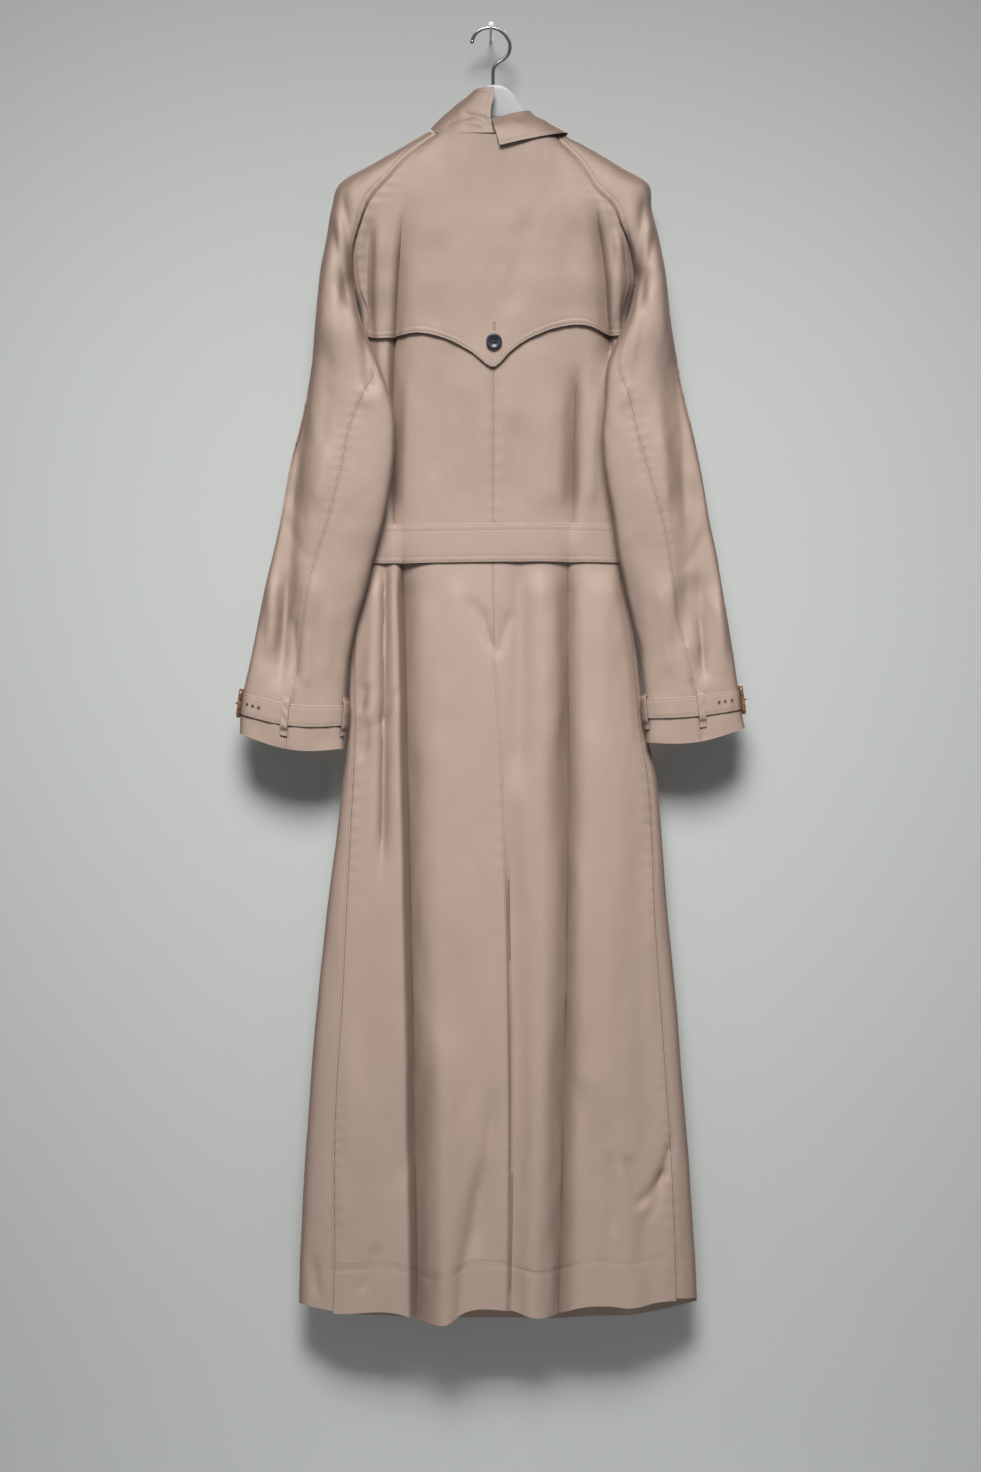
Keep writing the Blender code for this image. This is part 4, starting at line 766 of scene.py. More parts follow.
def cloth_finish(name, light, dark, rough, sheen):
    """Woven cotton: a warm beige that turns a little khaki, with a silky sheen. Where it turns away from the
    view its colour is multiplied darker and pinker: painted shade on the flanks of its folds, partly the
    pinker weft of shot cloth."""
    made, shader = new_material(name, {
        "Roughness": rough, "Specular IOR Level": 0.38, "Sheen Weight": sheen, "Sheen Roughness": 0.45,
        "Sheen Tint": (1.0, 0.86, 0.78, 1)})
    tree = made.node_tree
    weave = add_node(tree, "Group", {"Threads per mm": 9.0, "Slub": 0.9}, node_tree=woven_threads)
    place = add_node(tree, "TexCoord").outputs["Object"]
    drift = add_node(tree, "Mapping", {"Scale": (9, 9, 3)}, {0: place})
    broad = add_node(tree, "TexNoise", {"Scale": 1.0, "Detail": 4.0}, {"Vector": drift.outputs[0]})
    broad_part = maths(tree, "MULTIPLY", broad.outputs["Fac"], 0.5)
    both = maths(tree, "MULTIPLY_ADD", weave.outputs["Tone"], 0.5, broad_part)
    tones = add_node(tree, "Mix", {}, {"Factor": both}, data_type="RGBA")
    tones.inputs["A"].default_value = (*light, 1)
    tones.inputs["B"].default_value = (*dark, 1)
    # Painted shade: the colour is multiplied darker and pinker where the surface turns away from the view,
    # partly the weft's own tone
    turned = add_node(tree, "LayerWeight", {"Blend": 0.5})
    away = add_node(tree, "MapRange", {"From Min": 0.0, "From Max": 0.5}, {"Value": turned.outputs["Facing"]},
                    interpolation_type="SMOOTHSTEP")
    shot_and_painted_shade = add_node(tree, "Mix", {"B": (*WEFT_AND_PAINTED_SHADE, 1)}, {"Factor": away.outputs["Result"],
                    "A": tones.outputs["Result"]}, data_type="RGBA", blend_type="MULTIPLY")
    bump = add_node(tree, "Bump", {"Strength": 0.25, "Distance": 0.00012},
                    {"Height": weave.outputs["Height"]})
    tree.links.new(shot_and_painted_shade.outputs["Result"], shader.inputs["Base Color"])
    tree.links.new(bump.outputs["Normal"], shader.inputs["Normal"])
    return made


woven_threads = weave_group()
# Painted shade, partly the weft's pinker tone: what the cloth's colour is multiplied by where it turns away
# from the view
WEFT_AND_PAINTED_SHADE = (0.55, 0.512, 0.492)
trench_cloth = cloth_finish("trench_cloth", (0.455, 0.335, 0.275), (0.365, 0.276, 0.226), 0.54, 0.12)
thread = cloth_finish("thread", (0.36, 0.27, 0.205), (0.31, 0.235, 0.18), 0.65, 0.05)
EDGE_STEPS = np.array((0, 0.7, 1.4, 2.2, 3.2, 4.5, 6, 7.2, 8.6, 10.5, 13))
FOLD_STEPS = np.array((0, 0.9, 2.0, 3.3, 4.8, 6.6, 8.8))


def spread(width, step):
    """Places across a sheet as parts of its width, closer together at its two edges."""
    count = max(int((width - 2 * EDGE_STEPS[-1]) / step), 2)
    inner = np.linspace(EDGE_STEPS[-1], width - EDGE_STEPS[-1], count + 1)[1:-1]
    return np.concatenate((EDGE_STEPS, inner, (width - EDGE_STEPS)[::-1])) / width


def fold_spread(width, step):
    """The same places, with finer ones beside the column that follows the deepest fold."""
    usual = spread(width, step)
    usual = usual[np.abs(usual - FOLD_PART) > 9 / width]
    fine = FOLD_STEPS / width
    return np.sort(np.concatenate((usual, FOLD_PART - fine[1:], FOLD_PART + fine)))


SEAM_ROWS = 84                   # rows down a raglan seam
CHEST_ROWS = np.linspace(0, UNDERARM_ROW, SEAM_ROWS)[:-1]
SKIRT_ROWS = row_at(np.concatenate((np.arange(UNDERARM_Z, -1396, -4.2), np.arange(-1398, HEM_Z - 0.5, -2.6))))
BACK_ROWS = np.concatenate((CHEST_ROWS, SKIRT_ROWS))
SEAM_STITCHES = 2.4              # from a side or centre seam
HEM_DEPTH = 50.0
EDGE_FADE = 16.0


def body_panel(lines, first, rows, far_gap):
    """A panel's points, drawn in at its seams, and its normals. Each of its lines ends with
    the points before and after its far edge, and first holds such pairs for its seam."""
    lines = np.array(lines)
    inside = np.array([body_middle(row) for row in rows])
    normal = normals_of(lines[:, :-2], inside, np.array(first), lines[:, -2:])
    return pull_in(lines[:, :-2], seam_gap(rows), far_gap), normal


def back_half(side):
    """A back half's points and normals, from its raglan and side seam to the centre."""
    sign = INWARDS[side]
    part = fold_spread(170, 3.6)
    lines = []
    first = []
    for row in BACK_ROWS:
        z = float(body_middle(row)[2])
        start = float(body_column(side, row)) + sign * float(body_column(side + "_seam", row))
        lap = VENT_LAP * float(ease(VENT_TOP_Z - 2, VENT_TOP_Z - 60, z)) if side == "right" else 0.0
        x = follow_fold(part, side, z, start, float(vent_x(z)) - lap)
        line = body_point(row, np.concatenate((x, [x[-1] - sign * 4, x[-1] + sign * 4])), "back")
        if side == "right":
            middle = float(vent_x(z))
            under = ease(VENT_TOP_Z + 60, VENT_TOP_Z + 6, z) * ease(middle + 26, middle + 7, line[:, 0])
            line[:, 1] += LAP_DEPTH * under
        lines.append(line)
        first.append(raglan_pair(side, row, "back") if row <= UNDERARM_ROW else side_pair(side, row))
    return body_panel(lines, first, BACK_ROWS, SEAM / 2)


def hem_relief(grid):
    """A turned-up hem: a line of stitches above it, and slight pulls between them."""
    above = gone_from(grid[-1], grid) - HEM_DEPTH
    return 0.35 * uneven_wave(grid[..., 0], 5.3, 1.7, 31.0) * swell(above, 13.0) - 0.5 * swell(above, 1.7)


def calm_at_edges(middle):
    """How much unevenness a panel keeps: none at its side edges and little at the belt."""
    sides = ease(0, EDGE_FADE, edge_distance(middle, 0)[0]) * ease(0, EDGE_FADE, edge_distance(middle, -1)[0])
    return sides * (1 - 0.75 * ease(70, 30, np.abs(middle[..., 2] - BELT_Z)))


for side in ("left", "right"):
    middle, normal = back_half(side)
    centre_row = (SEAM_STITCHES,) if side == "left" else ()
    relief = unevenness(middle, 34, 120, 1.5, 3.0) + unevenness(middle, 13, 34, 0.45, 8.0)
    relief = relief * calm_at_edges(middle) + hem_relief(middle)
    relief = relief + seam_relief(middle, 0, 0.35, (), 0.4, 15.0, 0.3)
    relief = relief + seam_relief(middle, -1, 0.35, centre_row, 0.22, 17.0, 0.7)
    under_yoke = ease(-372, -352, middle[..., 2])
    shown = middle + normal * (OUTSET + relief * (1 - under_yoke))[..., None]
    lay_cloth("coat_back_" + side, "back_" + side, shown, normal)
    hem_line = nearest(middle[:, 30, 2], HEM_Z + HEM_DEPTH)
    runs = [run_beside(shown, normal, -1, place) for place in centre_row]
    sew("back_stitches_" + side, runs + [run_along(shown, normal, hem_line, 2)], thread)

# The back yoke
# A second layer over the shoulders, faced and topstitched along its scalloped lower edge.
# It is caught in the raglan seams and held down by one button at its point.
YOKE_ROWS = np.linspace(0, UNDERARM_ROW, 76)
YOKE_LEVELS = np.concatenate((np.linspace(0, 0.8, 18)[1:], np.linspace(0.8, 1, 9)[1:]))
YOKE_STITCHES = (2.0, 7.5)
YOKE_CORNER_Z = -345.0
YOKE_RISE = 0.64                 # how much of the yoke's lift is reached at the underarm


def yoke_place(row, level):
    """A line across the yoke: on the back's rows, then down in levels to its hem."""
    inset = 1.0 + 7.0 * float(ease(3.5, UNDERARM_ROW, row))
    if level:
        row = float(row_at(mix(UNDERARM_Z, YOKE_CORNER_Z, level)))
    part = fold_spread(150, 3.2)
    height = float(body_middle(row)[2])
    left = follow_fold(part, "left", height, float(body_column("left", row)) + inset, CENTRE_BACK_X)
    right = follow_fold(part, "right", height, float(body_column("right", row)) - inset, CENTRE_BACK_X)
    last = -len(EDGE_STEPS)
    x = np.concatenate((left[:last], np.linspace(left[last], right[last], 9)[1:-1], right[:last][::-1]))
    if not level:
        return body_point(row, x, "back"), body_middle(row)
    hem = traced(YOKE, YOKE_COLUMNS, x)
    depth = row_at(mix(UNDERARM_Z, hem, level))
    near = np.floor(depth * 8) / 8
    line = np.empty((len(x), 3))
    for value in np.unique(near):
        chosen = near == value
        low = body_point(float(value), x[chosen], "back")
        high = body_point(float(value) + 0.125, x[chosen], "back")
        line[chosen] = mix(low, high, ((depth[chosen] - value) / 0.125)[:, None])
    return line, body_middle(row)


def line_across(distance, away, shown, normal, columns):
    """A line at a distance from an edge, found in each column from the sheet's last row up."""
    return line_at(distance, *(grid[::-1, columns].swapaxes(0, 1) for grid in (away, shown, normal)))


found = [yoke_place(float(row), 0) for row in YOKE_ROWS]
found += [yoke_place(float(UNDERARM_ROW), float(level)) for level in YOKE_LEVELS]
middle, inside = (np.array(values) for values in zip(*found))
normal = normals_of(middle, inside, middle[:, :2], middle[:, -2:])
rise = np.concatenate((np.linspace(0, YOKE_RISE, len(YOKE_ROWS)), mix(YOKE_RISE, 1, YOKE_LEVELS)))
rise = rise[:, None] ** 3
bend = np.linalg.norm(np.gradient(normal, axis=1), axis=2)
seat = CLOTH + SEAM + 0.25 + 1.5 * rise + 0.5 * np.minimum(bend / 0.08, 1)
from_hem = gone_from(middle[-1], middle)
from_sides = np.minimum(edge_distance(middle, 0)[0], edge_distance(middle, -1)[0])
relief = unevenness(middle, 30, 90, 1.3, 5.0) + unevenness(middle, 12, 26, 0.4, 9.0)
relief = relief * ease(0, 14, from_sides) * ease(0, 22, from_hem)
relief = relief - drawn_in(from_hem, YOKE_STITCHES, 0.3) + 0.35 * swell(from_hem - 4.7, 2.2)
relief = relief + 0.3 * uneven_wave(middle[..., 0], 2.6, 2, 17) * swell(from_hem, 13)
for edge, phase in ((0, 0.2), (-1, 0.6)):
    relief = relief + seam_relief(middle, edge, 0.2, (), 0.35, 14.0, phase)
shown = middle + normal * (seat + OUTSET + relief)[..., None]
lay_cloth("coat_yoke", "back_yoke", shown, normal)
runs = [line_across(place, from_hem, shown, normal, slice(3, -3)) for place in YOKE_STITCHES]
sew("yoke_stitches", runs, thread)

# The buttonhole
# A small hand-worked buttonhole in pinkish thread, just above the yoke's button. Two bars
# of stitches run down its slit and one closes its upper end.
HOLE_BARS = (3.5, 5.5)
HOLE_TOP = -332.6
HOLE_FOOT = -343.4
hole_thread = cloth_finish("buttonhole_thread", (0.47, 0.23, 0.19), (0.4, 0.2, 0.165), 0.6, 0.05)


def on_sheet(places, grid, facing):
    """Points given by x and z, set on a sheet's outer face, with the face's normals there."""
    line = []
    found = []
    for x, z in places:
        near = np.hypot(grid[..., 0] - x, grid[..., 2] - z)
        at = np.unravel_index(np.argmin(near), near.shape)
        out, spot = facing[at], grid[at]
        y = spot[1] - (out[0] * (x - spot[0]) + out[2] * (z - spot[2])) / out[1]
        line.append(np.array((x, y, z)) + out * SHELL / 2)
        found.append(out)
    return np.array(line), np.array(found)


runs = [on_sheet([(x, z) for z in np.linspace(HOLE_TOP, HOLE_FOOT, 12)], shown, normal) for x in HOLE_BARS]
across = np.linspace(HOLE_BARS[0] - 1.9, HOLE_BARS[1] + 1.9, 7)
runs.append(on_sheet([(x, HOLE_TOP - 0.8) for x in across], shown, normal))
sew("buttonhole", runs, hole_thread, 1.3, 1.15, 0.8, 0.1)

# The two fronts
# Cut from the same cloth, wrapped round the sides to the side seams. The left front lies
# over the right one and buttons to it, and both hems hang a little lower than the back's.
FRONT_SKIRT_ROWS = row_at(np.arange(UNDERARM_Z, HEM_Z - 0.5, -6.0))
FRONT_ROWS = np.concatenate((np.linspace(0, UNDERARM_ROW, 60)[:-1], FRONT_SKIRT_ROWS))
FRONT_EDGE_STITCHES = 6.0


def front_half(side):
    """A front's points and normals, from its side seam, past the middle, to its edge."""
    sign = INWARDS[side]
    part = spread(240, 5.0)
    lines = []
    first = []
    for row in FRONT_ROWS:
        edge = float(body_column(side, row))
        far = float(body_column("right" if side == "left" else "left", row))
        inset = float(body_column(side + "_seam", row))
        lap = float(body_column("lap", row))
        middle = mix(edge, far, 0.5)
        end = middle + sign * lap
        if row <= UNDERARM_ROW:
            x = mix(edge, end, part * (0.6 + 0.4 * part))
            on_back = np.zeros(len(part), dtype=bool)
            first.append(raglan_pair(side, row, "front"))
        else:
            wrap = math.acos(1 - 2 * inset / abs(far - edge))
            turn = mix(-wrap, math.acos(1 - 2 * abs(end - edge) / abs(far - edge)), part)
            x = edge + (far - edge) * (1 - np.cos(turn)) / 2
            on_back = turn < 0
            first.append(side_pair(side, row)[::-1])
        x = np.concatenate((x, [end - sign * 4, end + sign * 4]))
        on_back = np.concatenate((on_back, [False, False]))
        line = np.where(on_back[:, None], body_point(row, x, "back"), body_point(row, x, "front"))
        if side == "left":
            near = middle - lap
            line[:, 1] -= LAP_DEPTH * np.where(on_back, 0, ease(near - 34, near - 7, line[:, 0]))
        lines.append(line)
    return body_panel(lines, first, FRONT_ROWS, 0.0)


for side in ("left", "right"):
    middle, normal = front_half(side)
    relief = unevenness(middle, 40, 130, 1.1, 12.0 if side == "left" else 17.0)
    relief = (relief + unevenness(middle, 15, 40, 0.35, 21.0)) * calm_at_edges(middle)
    relief = relief + seam_relief(middle, 0, 0.3, (SEAM_STITCHES,), 0.35, 14.0, 0.45) + hem_relief(middle)
    relief = relief - drawn_in(edge_distance(middle, -1)[0], (FRONT_EDGE_STITCHES,), 0.3)
    shown = middle + normal * (OUTSET + relief)[..., None]
    lay_cloth("coat_front_" + side, "front_" + side, shown, normal)
    hem_line = nearest(FRONT_ROWS, row_at(HEM_Z + HEM_DEPTH))
    runs = [run_beside(shown, normal, 0, SEAM_STITCHES), run_beside(shown, normal, -1, FRONT_EDGE_STITCHES)]
    sew("front_stitches_" + side, runs + [run_along(shown, normal, hem_line, 2)], thread)

# The two sleeves
# Raglan sleeves, each a back and a front piece. They join along the shoulder and outer arm,
# along the raglan seams, which are stitched twice, and in a seam down the back of the arm.
RAGLAN_STITCHES = (2.2, 8.0)
CUFF_STITCHES = 28.0
STRAP_TOP = 19.0                 # the arm's rows at the cuff strap's two edges
STRAP_BOTTOM = 20.0
ARM_HEIGHTS = (column(ARM_LEFT, ARM_COLUMNS, "outer_z") + column(ARM_LEFT, ARM_COLUMNS, "inner_z")) / 2
ARM_STEPS = np.arange(ARM_HEIGHTS[UNDERARM_ROW], -800, -4.0)
ARM_STEPS = np.concatenate((ARM_STEPS, [-802.0, -804.5, ARM_HEIGHTS[-1]]))
LOWER_ARM = np.interp(-ARM_STEPS, -ARM_HEIGHTS[UNDERARM_ROW:], np.arange(UNDERARM_ROW, len(ARM_LEFT)))
SLEEVE_ROWS = np.concatenate((CHEST_ROWS, LOWER_ARM))


def arm_seam(side, row):
    """How far round an arm the seam down its back lies."""
    return float(np.arccos(np.clip(1 - 2 * arm(side, row)["seam"], -1, 1)))


def arm_middle(side, row):
    """A point inside an arm's section."""
    part = arm(side, row)
    return np.array(((part["outer_x"] + part["inner_x"]) / 2, part["outer_y"] - 3,
                     (part["outer_z"] + part["inner_z"]) / 2 - 6 * float(ease(6, 4, row))))


def sleeve_half(side, half):
    """A sleeve's back or front: its points and normals, on its own finer columns."""
    grid = []
    seam_pairs = []
    edge_pairs = []
    part = spread(150, 3.2)
    for row in SLEEVE_ROWS:
        seam = arm_seam(side, row)
        turn = seam * part if half == "back" else mix(seam, 2 * math.pi, part)
        over = None
        pair = (arm_point(side, row, seam - NEAR), arm_point(side, row, seam + NEAR))
        if row <= UNDERARM_ROW:
            over = half == "back"
            pair = raglan_pair(side, row, half)
            pair = pair if half == "back" else pair[::-1]
        grid.append(arm_point(side, row, turn, over))
        seam_pairs.append(pair)
        edge_pairs.append((arm_point(side, row, -NEAR), arm_point(side, row, NEAR)))
    grid = np.array(grid)
    inside = np.array([arm_middle(side, row) for row in SLEEVE_ROWS])
    pairs = [np.array(edge_pairs), np.array(seam_pairs)]
    gaps = [SEAM / 2, seam_gap(SLEEVE_ROWS)]
    if half == "front":
        pairs, gaps = pairs[::-1], gaps[::-1]
    return pull_in(grid, *gaps), normals_of(grid, inside, *pairs)


for side in ("left", "right"):
    for half in ("back", "front"):
        middle, normal = sleeve_half(side, half)
        seam_edge, shoulder_edge = (-1, 0) if half == "back" else (0, -1)
        double = seam_relief(middle, seam_edge, 0.12, RAGLAN_STITCHES, 0.2, 12.0, 0.15)
        single = seam_relief(middle, seam_edge, 0.35, RAGLAN_STITCHES[:1], 0.42, 13.0, 0.55)
        raglan = np.arange(len(SLEEVE_ROWS))[:, None] < SEAM_ROWS
        seams = np.where(raglan, double, single if half == "back" else single * 0.8)
        seams = seams + seam_relief(middle, shoulder_edge, 0.2, (), 0.15, 18.0, 0.8)
        quiet = ease(0, 14, edge_distance(middle, seam_edge)[0]) * ease(0, 1.5, SLEEVE_ROWS)[:, None]
        quiet = quiet * ease(0, 8, edge_distance(middle, shoulder_edge)[0])
        relief = unevenness(middle, 30, 62, 1.2, 31.0 + len(side))
        relief = (relief + unevenness(middle, 12, 22, 0.5, 37.0 + len(half))) * quiet
        rise = gone_from(middle[-1], middle)
        relief = relief + seams - drawn_in(rise, (CUFF_STITCHES,), 0.35, 1.2)
        under_strap = ease(STRAP_TOP - 0.4, STRAP_TOP, SLEEVE_ROWS)
        under_strap = under_strap * ease(STRAP_BOTTOM + 0.5, STRAP_BOTTOM + 0.1, SLEEVE_ROWS)
        relief = relief * (1 - 0.6 * under_strap)[:, None]
        shown = middle + normal * (OUTSET + relief)[..., None]
        name = "sleeve_" + side + "_" + half
        lay_cloth("coat_" + name, name, shown, normal)
        runs = []
        if half == "back":
            high = slice(3, SEAM_ROWS - 4)
            runs = [run_beside(shown[high], normal[high], seam_edge, place) for place in RAGLAN_STITCHES]
        low = slice(SEAM_ROWS + 4 if half == "back" else 6, None)
        runs.append(run_beside(shown[low], normal[low], seam_edge, RAGLAN_STITCHES[0]))
        cuff_line = nearest(rise[:, 20], CUFF_STITCHES)
        sew(name + "_stitches", runs + [run_along(shown, normal, cuff_line, 1)], thread)

# The collar
# Two halves that part at the centre back: the left one stands up, the right one is folded
# down over its stand. Both are two layers of the coat's cloth, stitched near their edges.
COLLAR_STITCHES = 5.5
# Creases of the standing half: from x, z to x, z, then width and height
COLLAR_CREASES = ((-34, -92.5, -1, -103.5, 3.0, -1.7), (-40, -100, -8, -110, 2.6, 0.9),
                  (-10, -104, -1, -110, 2.2, -1.2), (-52, -106, -20, -99, 3.2, -0.8))

# Points x, y, z of the two halves at the centre back, the side and the centre front: the
# neck seam, the standing half's edge, and the folded half's fold and edge
NECK_SEAM = {"left": ((3.4, -62, -119), (-67.5, -34, -111), (9, -14, -153)),
             "right": ((4.0, -62, -119), (80.5, -34, -113.5), (9.6, -14, -153))}
COLLAR_TOP = ((4, -46, -63), (-19, -34, -66), (5, -22, -98))
COLLAR_FOLD = ((1.4, -51.5, -99.5), (45, -34, -88.5), (9, -22, -131))
COLLAR_EDGE = ((10.6, -69.5, -133), (88, -34, -114.5), (16, -8.5, -166))


def round_neck(stations, turn, behind_power, before_power):
    """A soft line round the neck through three stations: back, side and front. The
    powers say how soon its height leaves that of the side."""
    back, side, front = (np.asarray(station, dtype=float) for station in stations)
    turn = np.asarray(turn, dtype=float)
    behind = turn <= math.pi / 2
    x = np.where(behind, back[0] + (side[0] - back[0]) * np.sin(turn),
                 front[0] + (side[0] - front[0]) * np.sin(turn))
    y = np.where(behind, side[1] + (back[1] - side[1]) * np.cos(turn),
                 side[1] - (front[1] - side[1]) * np.cos(turn))
    reach = np.clip(np.sin(turn), 0, 1)
    z = np.where(behind, side[2] + (back[2] - side[2]) * (1 - reach ** behind_power),
                 side[2] + (front[2] - side[2]) * (1 - reach ** before_power))
    return np.stack((x, y, z), axis=-1)


def soft_between(rows, count):
    """More rows between a few, on a soft curve through them."""
    rows = np.asarray(rows, dtype=float)
    at = np.linspace(0, len(rows) - 1, count)
    index = np.clip(np.floor(at).astype(int), 0, len(rows) - 2)
    part = (at - index).reshape((-1,) + (1,) * (rows.ndim - 1))
    slope = np.gradient(rows, axis=0)
    rise = part * part * (3 - 2 * part)
    curve = rows[index] * (1 - rise) + rows[index + 1] * rise
    return (curve + part * (1 - part) ** 2 * slope[index]
            + part * part * (part - 1) * slope[index + 1])


def collar_half(side):
    """A collar half as rows up its stand; the folded half goes on over and down."""
    turn = np.concatenate(([-0.12], np.linspace(0, math.pi, 72), [math.pi + 0.12]))
    seam = round_neck(NECK_SEAM[side], turn, 12, 2) + np.array((0, 0, 1.3))
    seam[:, 2] += 2.4 * ease(1.4, 1.8, turn)
    rows = []
    if side == "left":
        top = round_neck(COLLAR_TOP, turn, 2, 2)
        for part in np.linspace(0, 1, 6):
            bow = 2.0 * math.sin(math.pi * part)
            out = np.stack((-np.sin(turn) * bow, -np.cos(turn) * bow, 0 * turn), axis=-1)
            slant = -3.9 * math.sin(math.pi * min(part / 0.8, 1)) * np.exp(-(turn / 0.2) ** 2)
            out[:, 0] += slant
            rows.append(mix(seam, top, part) + out)
        grid = soft_between(rows, 46)
    else:
        fold = round_neck(COLLAR_FOLD, turn, 1.2, 1.6)
        edge = round_neck(COLLAR_EDGE, turn, 1, 1.3)
        out = np.stack((np.sin(turn), -np.cos(turn), 0 * turn), axis=-1)
        for part in (0, 0.35, 0.7, 0.93):
            rows.append(mix(seam, fold - out * 1.4 - np.array((0, 0, 1.8)), part))
        rows.append(fold)
        for part in (0.07, 0.35, 0.7, 1.0):
            bow = 5.0 * math.sin(math.pi * part ** 0.8) * np.abs(np.cos(turn))[:, None]
            rows.append(mix(fold + out * 1.4 - np.array((0, 0, 1.8)), edge, part) + out * bow)
        grid = soft_between(rows, 90)
    along = grid[:, 2:] - grid[:, :-2]
    middle = grid[:, 1:-1]
    normal = unit(np.cross(along, np.gradient(middle, axis=0)))
    return middle, -normal if side == "left" else normal


for side in ("left", "right"):
    middle, normal = collar_half(side)
    lower = gone_from(middle[0], middle)
    upper = gone_from(middle[-1], middle)
    centre = gone_from(middle[:, :1], middle)
    relief = unevenness(middle, 16, 16, 0.7, 41.0 + len(side)) * ease(0, 8, lower)
    relief = relief - drawn_in(upper, (COLLAR_STITCHES,), 0.28) - drawn_in(centre, (COLLAR_STITCHES,), 0.28)
    for x1, z1, x2, z2, width, height in COLLAR_CREASES if side == "left" else ():
        part = np.clip((middle[..., 0] - x1) / (x2 - x1), 0, 1)
        ends = ease(0, 0.25, part) * ease(1.0, 0.9, part)
        crease = height * swell(middle[..., 2] - mix(z1, z2, part), width)
        relief = relief + crease * ends * ease(-44, -48, middle[..., 1])
    shown = middle + normal * (relief * ease(0, 1.5, centre))[..., None]
    lay_cloth("coat_collar_" + side, "collar_" + side, shown, normal)
    runs = [line_across(COLLAR_STITCHES, upper, shown, normal, slice(5, -1)),
            line_at(COLLAR_STITCHES, centre[4:-4], shown[4:-4], normal[4:-4])]
    sew("collar_stitches_" + side, runs, thread)

# Pale threads where the standing half's end is sewn over by hand
pale_thread = cloth_finish("pale_thread", (0.62, 0.58, 0.53), (0.56, 0.52, 0.47), 0.7, 0.1)
end = collar_half("left")[0][3:-2, 0]
outward = np.tile((0.55, -0.83, 0.0), (len(end), 1))
sew("collar_end_stitches", [(end + outward * 0.75, outward)], pale_thread, 3.1, 2.3, 0.8)

# The belt
# A long stiffened band of the coat's cloth, stitched twice along both edges, that runs round
# the waist over the coat. Its end laps over itself at the front, under its buckle.
BELT_WIDTH = 44.0
BELT_WALL = 2.0
BELT_EDGE = np.array((0, 0.5, 1.1, 1.8, 2.6))
BELT_ROWS = np.concatenate((BELT_EDGE, np.linspace(3.6, 40.4, 20), BELT_WIDTH - BELT_EDGE[::-1]))
BELT_STITCHES = (1.8, 7.6, 36.4, 42.2)
# The belt starts this much of a turn before the front's middle and ends twice that past it
BELT_OVERRUN = 0.18
BELT_BENDS = ((-92.0, 1.3), (-34.0, -0.8), (38.0, 0.9), (96.0, -1.2))   # x and height

rows = []
inside = []
for depth in BELT_ROWS:
    z = BELT_Z + BELT_WIDTH / 2 - depth
    row = float(row_at(z))
    left = float(body_column("left", row))
    right = float(body_column("right", row))
    across = (left + right) / 2
    turn = np.linspace(-BELT_OVERRUN, 2 * math.pi + 2 * BELT_OVERRUN, 260)
    x = across + (right - left) / 2 * np.sin(turn)
    at_front = np.cos(turn) > 0
    line = np.where(at_front[:, None], body_point(row, x, "front"), body_point(row, x, "back"))
    line[:, 2] = z
    rows.append(line)
    inside.append(np.array((across, SIDE_Y, z)))
middle = np.array(rows)
middle[..., 1] = mix(middle[..., 1], middle[..., 1].mean(axis=0), 0.6)
normal = normals_of(middle, np.array(inside), middle[:, :2], middle[:, -2:])
lap = ease(0.86, 0.90, np.linspace(0, 1, middle.shape[1]))[None, :, None]
middle = middle + normal * (CLOTH / 2 + BELT_WALL / 2 + 0.9 + (BELT_WALL + 0.4) * lap)
from_top = BELT_ROWS[:, None] + 0 * middle[..., 0]
relief = unevenness(middle, 26, 60, 0.55, 51.0) - drawn_in(from_top, BELT_STITCHES, 0.32)
for between in (sum(BELT_STITCHES[:2]) / 2, sum(BELT_STITCHES[2:]) / 2):
    relief = relief + 0.16 * uneven_wave(middle[..., 0], 2.9, 2.2, 21.0) * swell(from_top - between, 3.2)
edge_round = 0.45 * (swell(from_top, 0.9) + swell(BELT_WIDTH - from_top, 0.9))
at_back = middle[..., 1] < SIDE_Y
bend = at_back * sum(high * swell(middle[..., 0] - place, 20) for place, high in BELT_BENDS)
shown = middle + normal * (relief * 0.8 - edge_round + np.maximum(bend, 0))[..., None]
shown[..., 2] = shown[..., 2] + 0.8 * np.sin((middle[..., 0] + 30) / 55) * at_back
lay_cloth("coat_belt", "belt", shown, normal, BELT_WALL * 0.8)
runs = [run_along(shown, normal, nearest(BELT_ROWS, place), 3, BELT_WALL * 0.4) for place in BELT_STITCHES]
sew("belt_stitches", runs, thread)

# The belt's buckle
# A framed buckle and its prong, moulded in brown tortoiseshell plastic. It closes the belt
# at the front, on the side that faces the wall.
BELT_BUCKLE = (50.0, 60.0)
BELT_BAR = 2.5
PRONG_BAR = 1.5


def tortoise_finish():
    """Polished plastic in mixed browns, from dark to honey, under a clear gloss."""
    made, shader = new_material("tortoise", {"Roughness": 0.3, "Coat Weight": 0.5, "Coat Roughness": 0.12})
    tree = made.node_tree
    place = add_node(tree, "TexCoord").outputs["Object"]
    cloud = add_node(tree, "TexNoise", {"Scale": 160, "Detail": 3, "Distortion": 1.2}, {"Vector": place})
    browns = add_node(tree, "ValToRGB", {}, {"Fac": cloud.outputs["Fac"]})
    dark, honey = browns.color_ramp.elements
    dark.position, dark.color = 0.38, (0.055, 0.022, 0.009, 1)
    honey.position, honey.color = 0.64, (0.33, 0.16, 0.06, 1)
    tree.links.new(browns.outputs["Color"], shader.inputs["Base Color"])
    return made


tortoise = tortoise_finish()


def solid_box(node):
    """The lowest and highest corners of a piece's solid, in millimetres."""
    return np.array(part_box(node)) * 1000


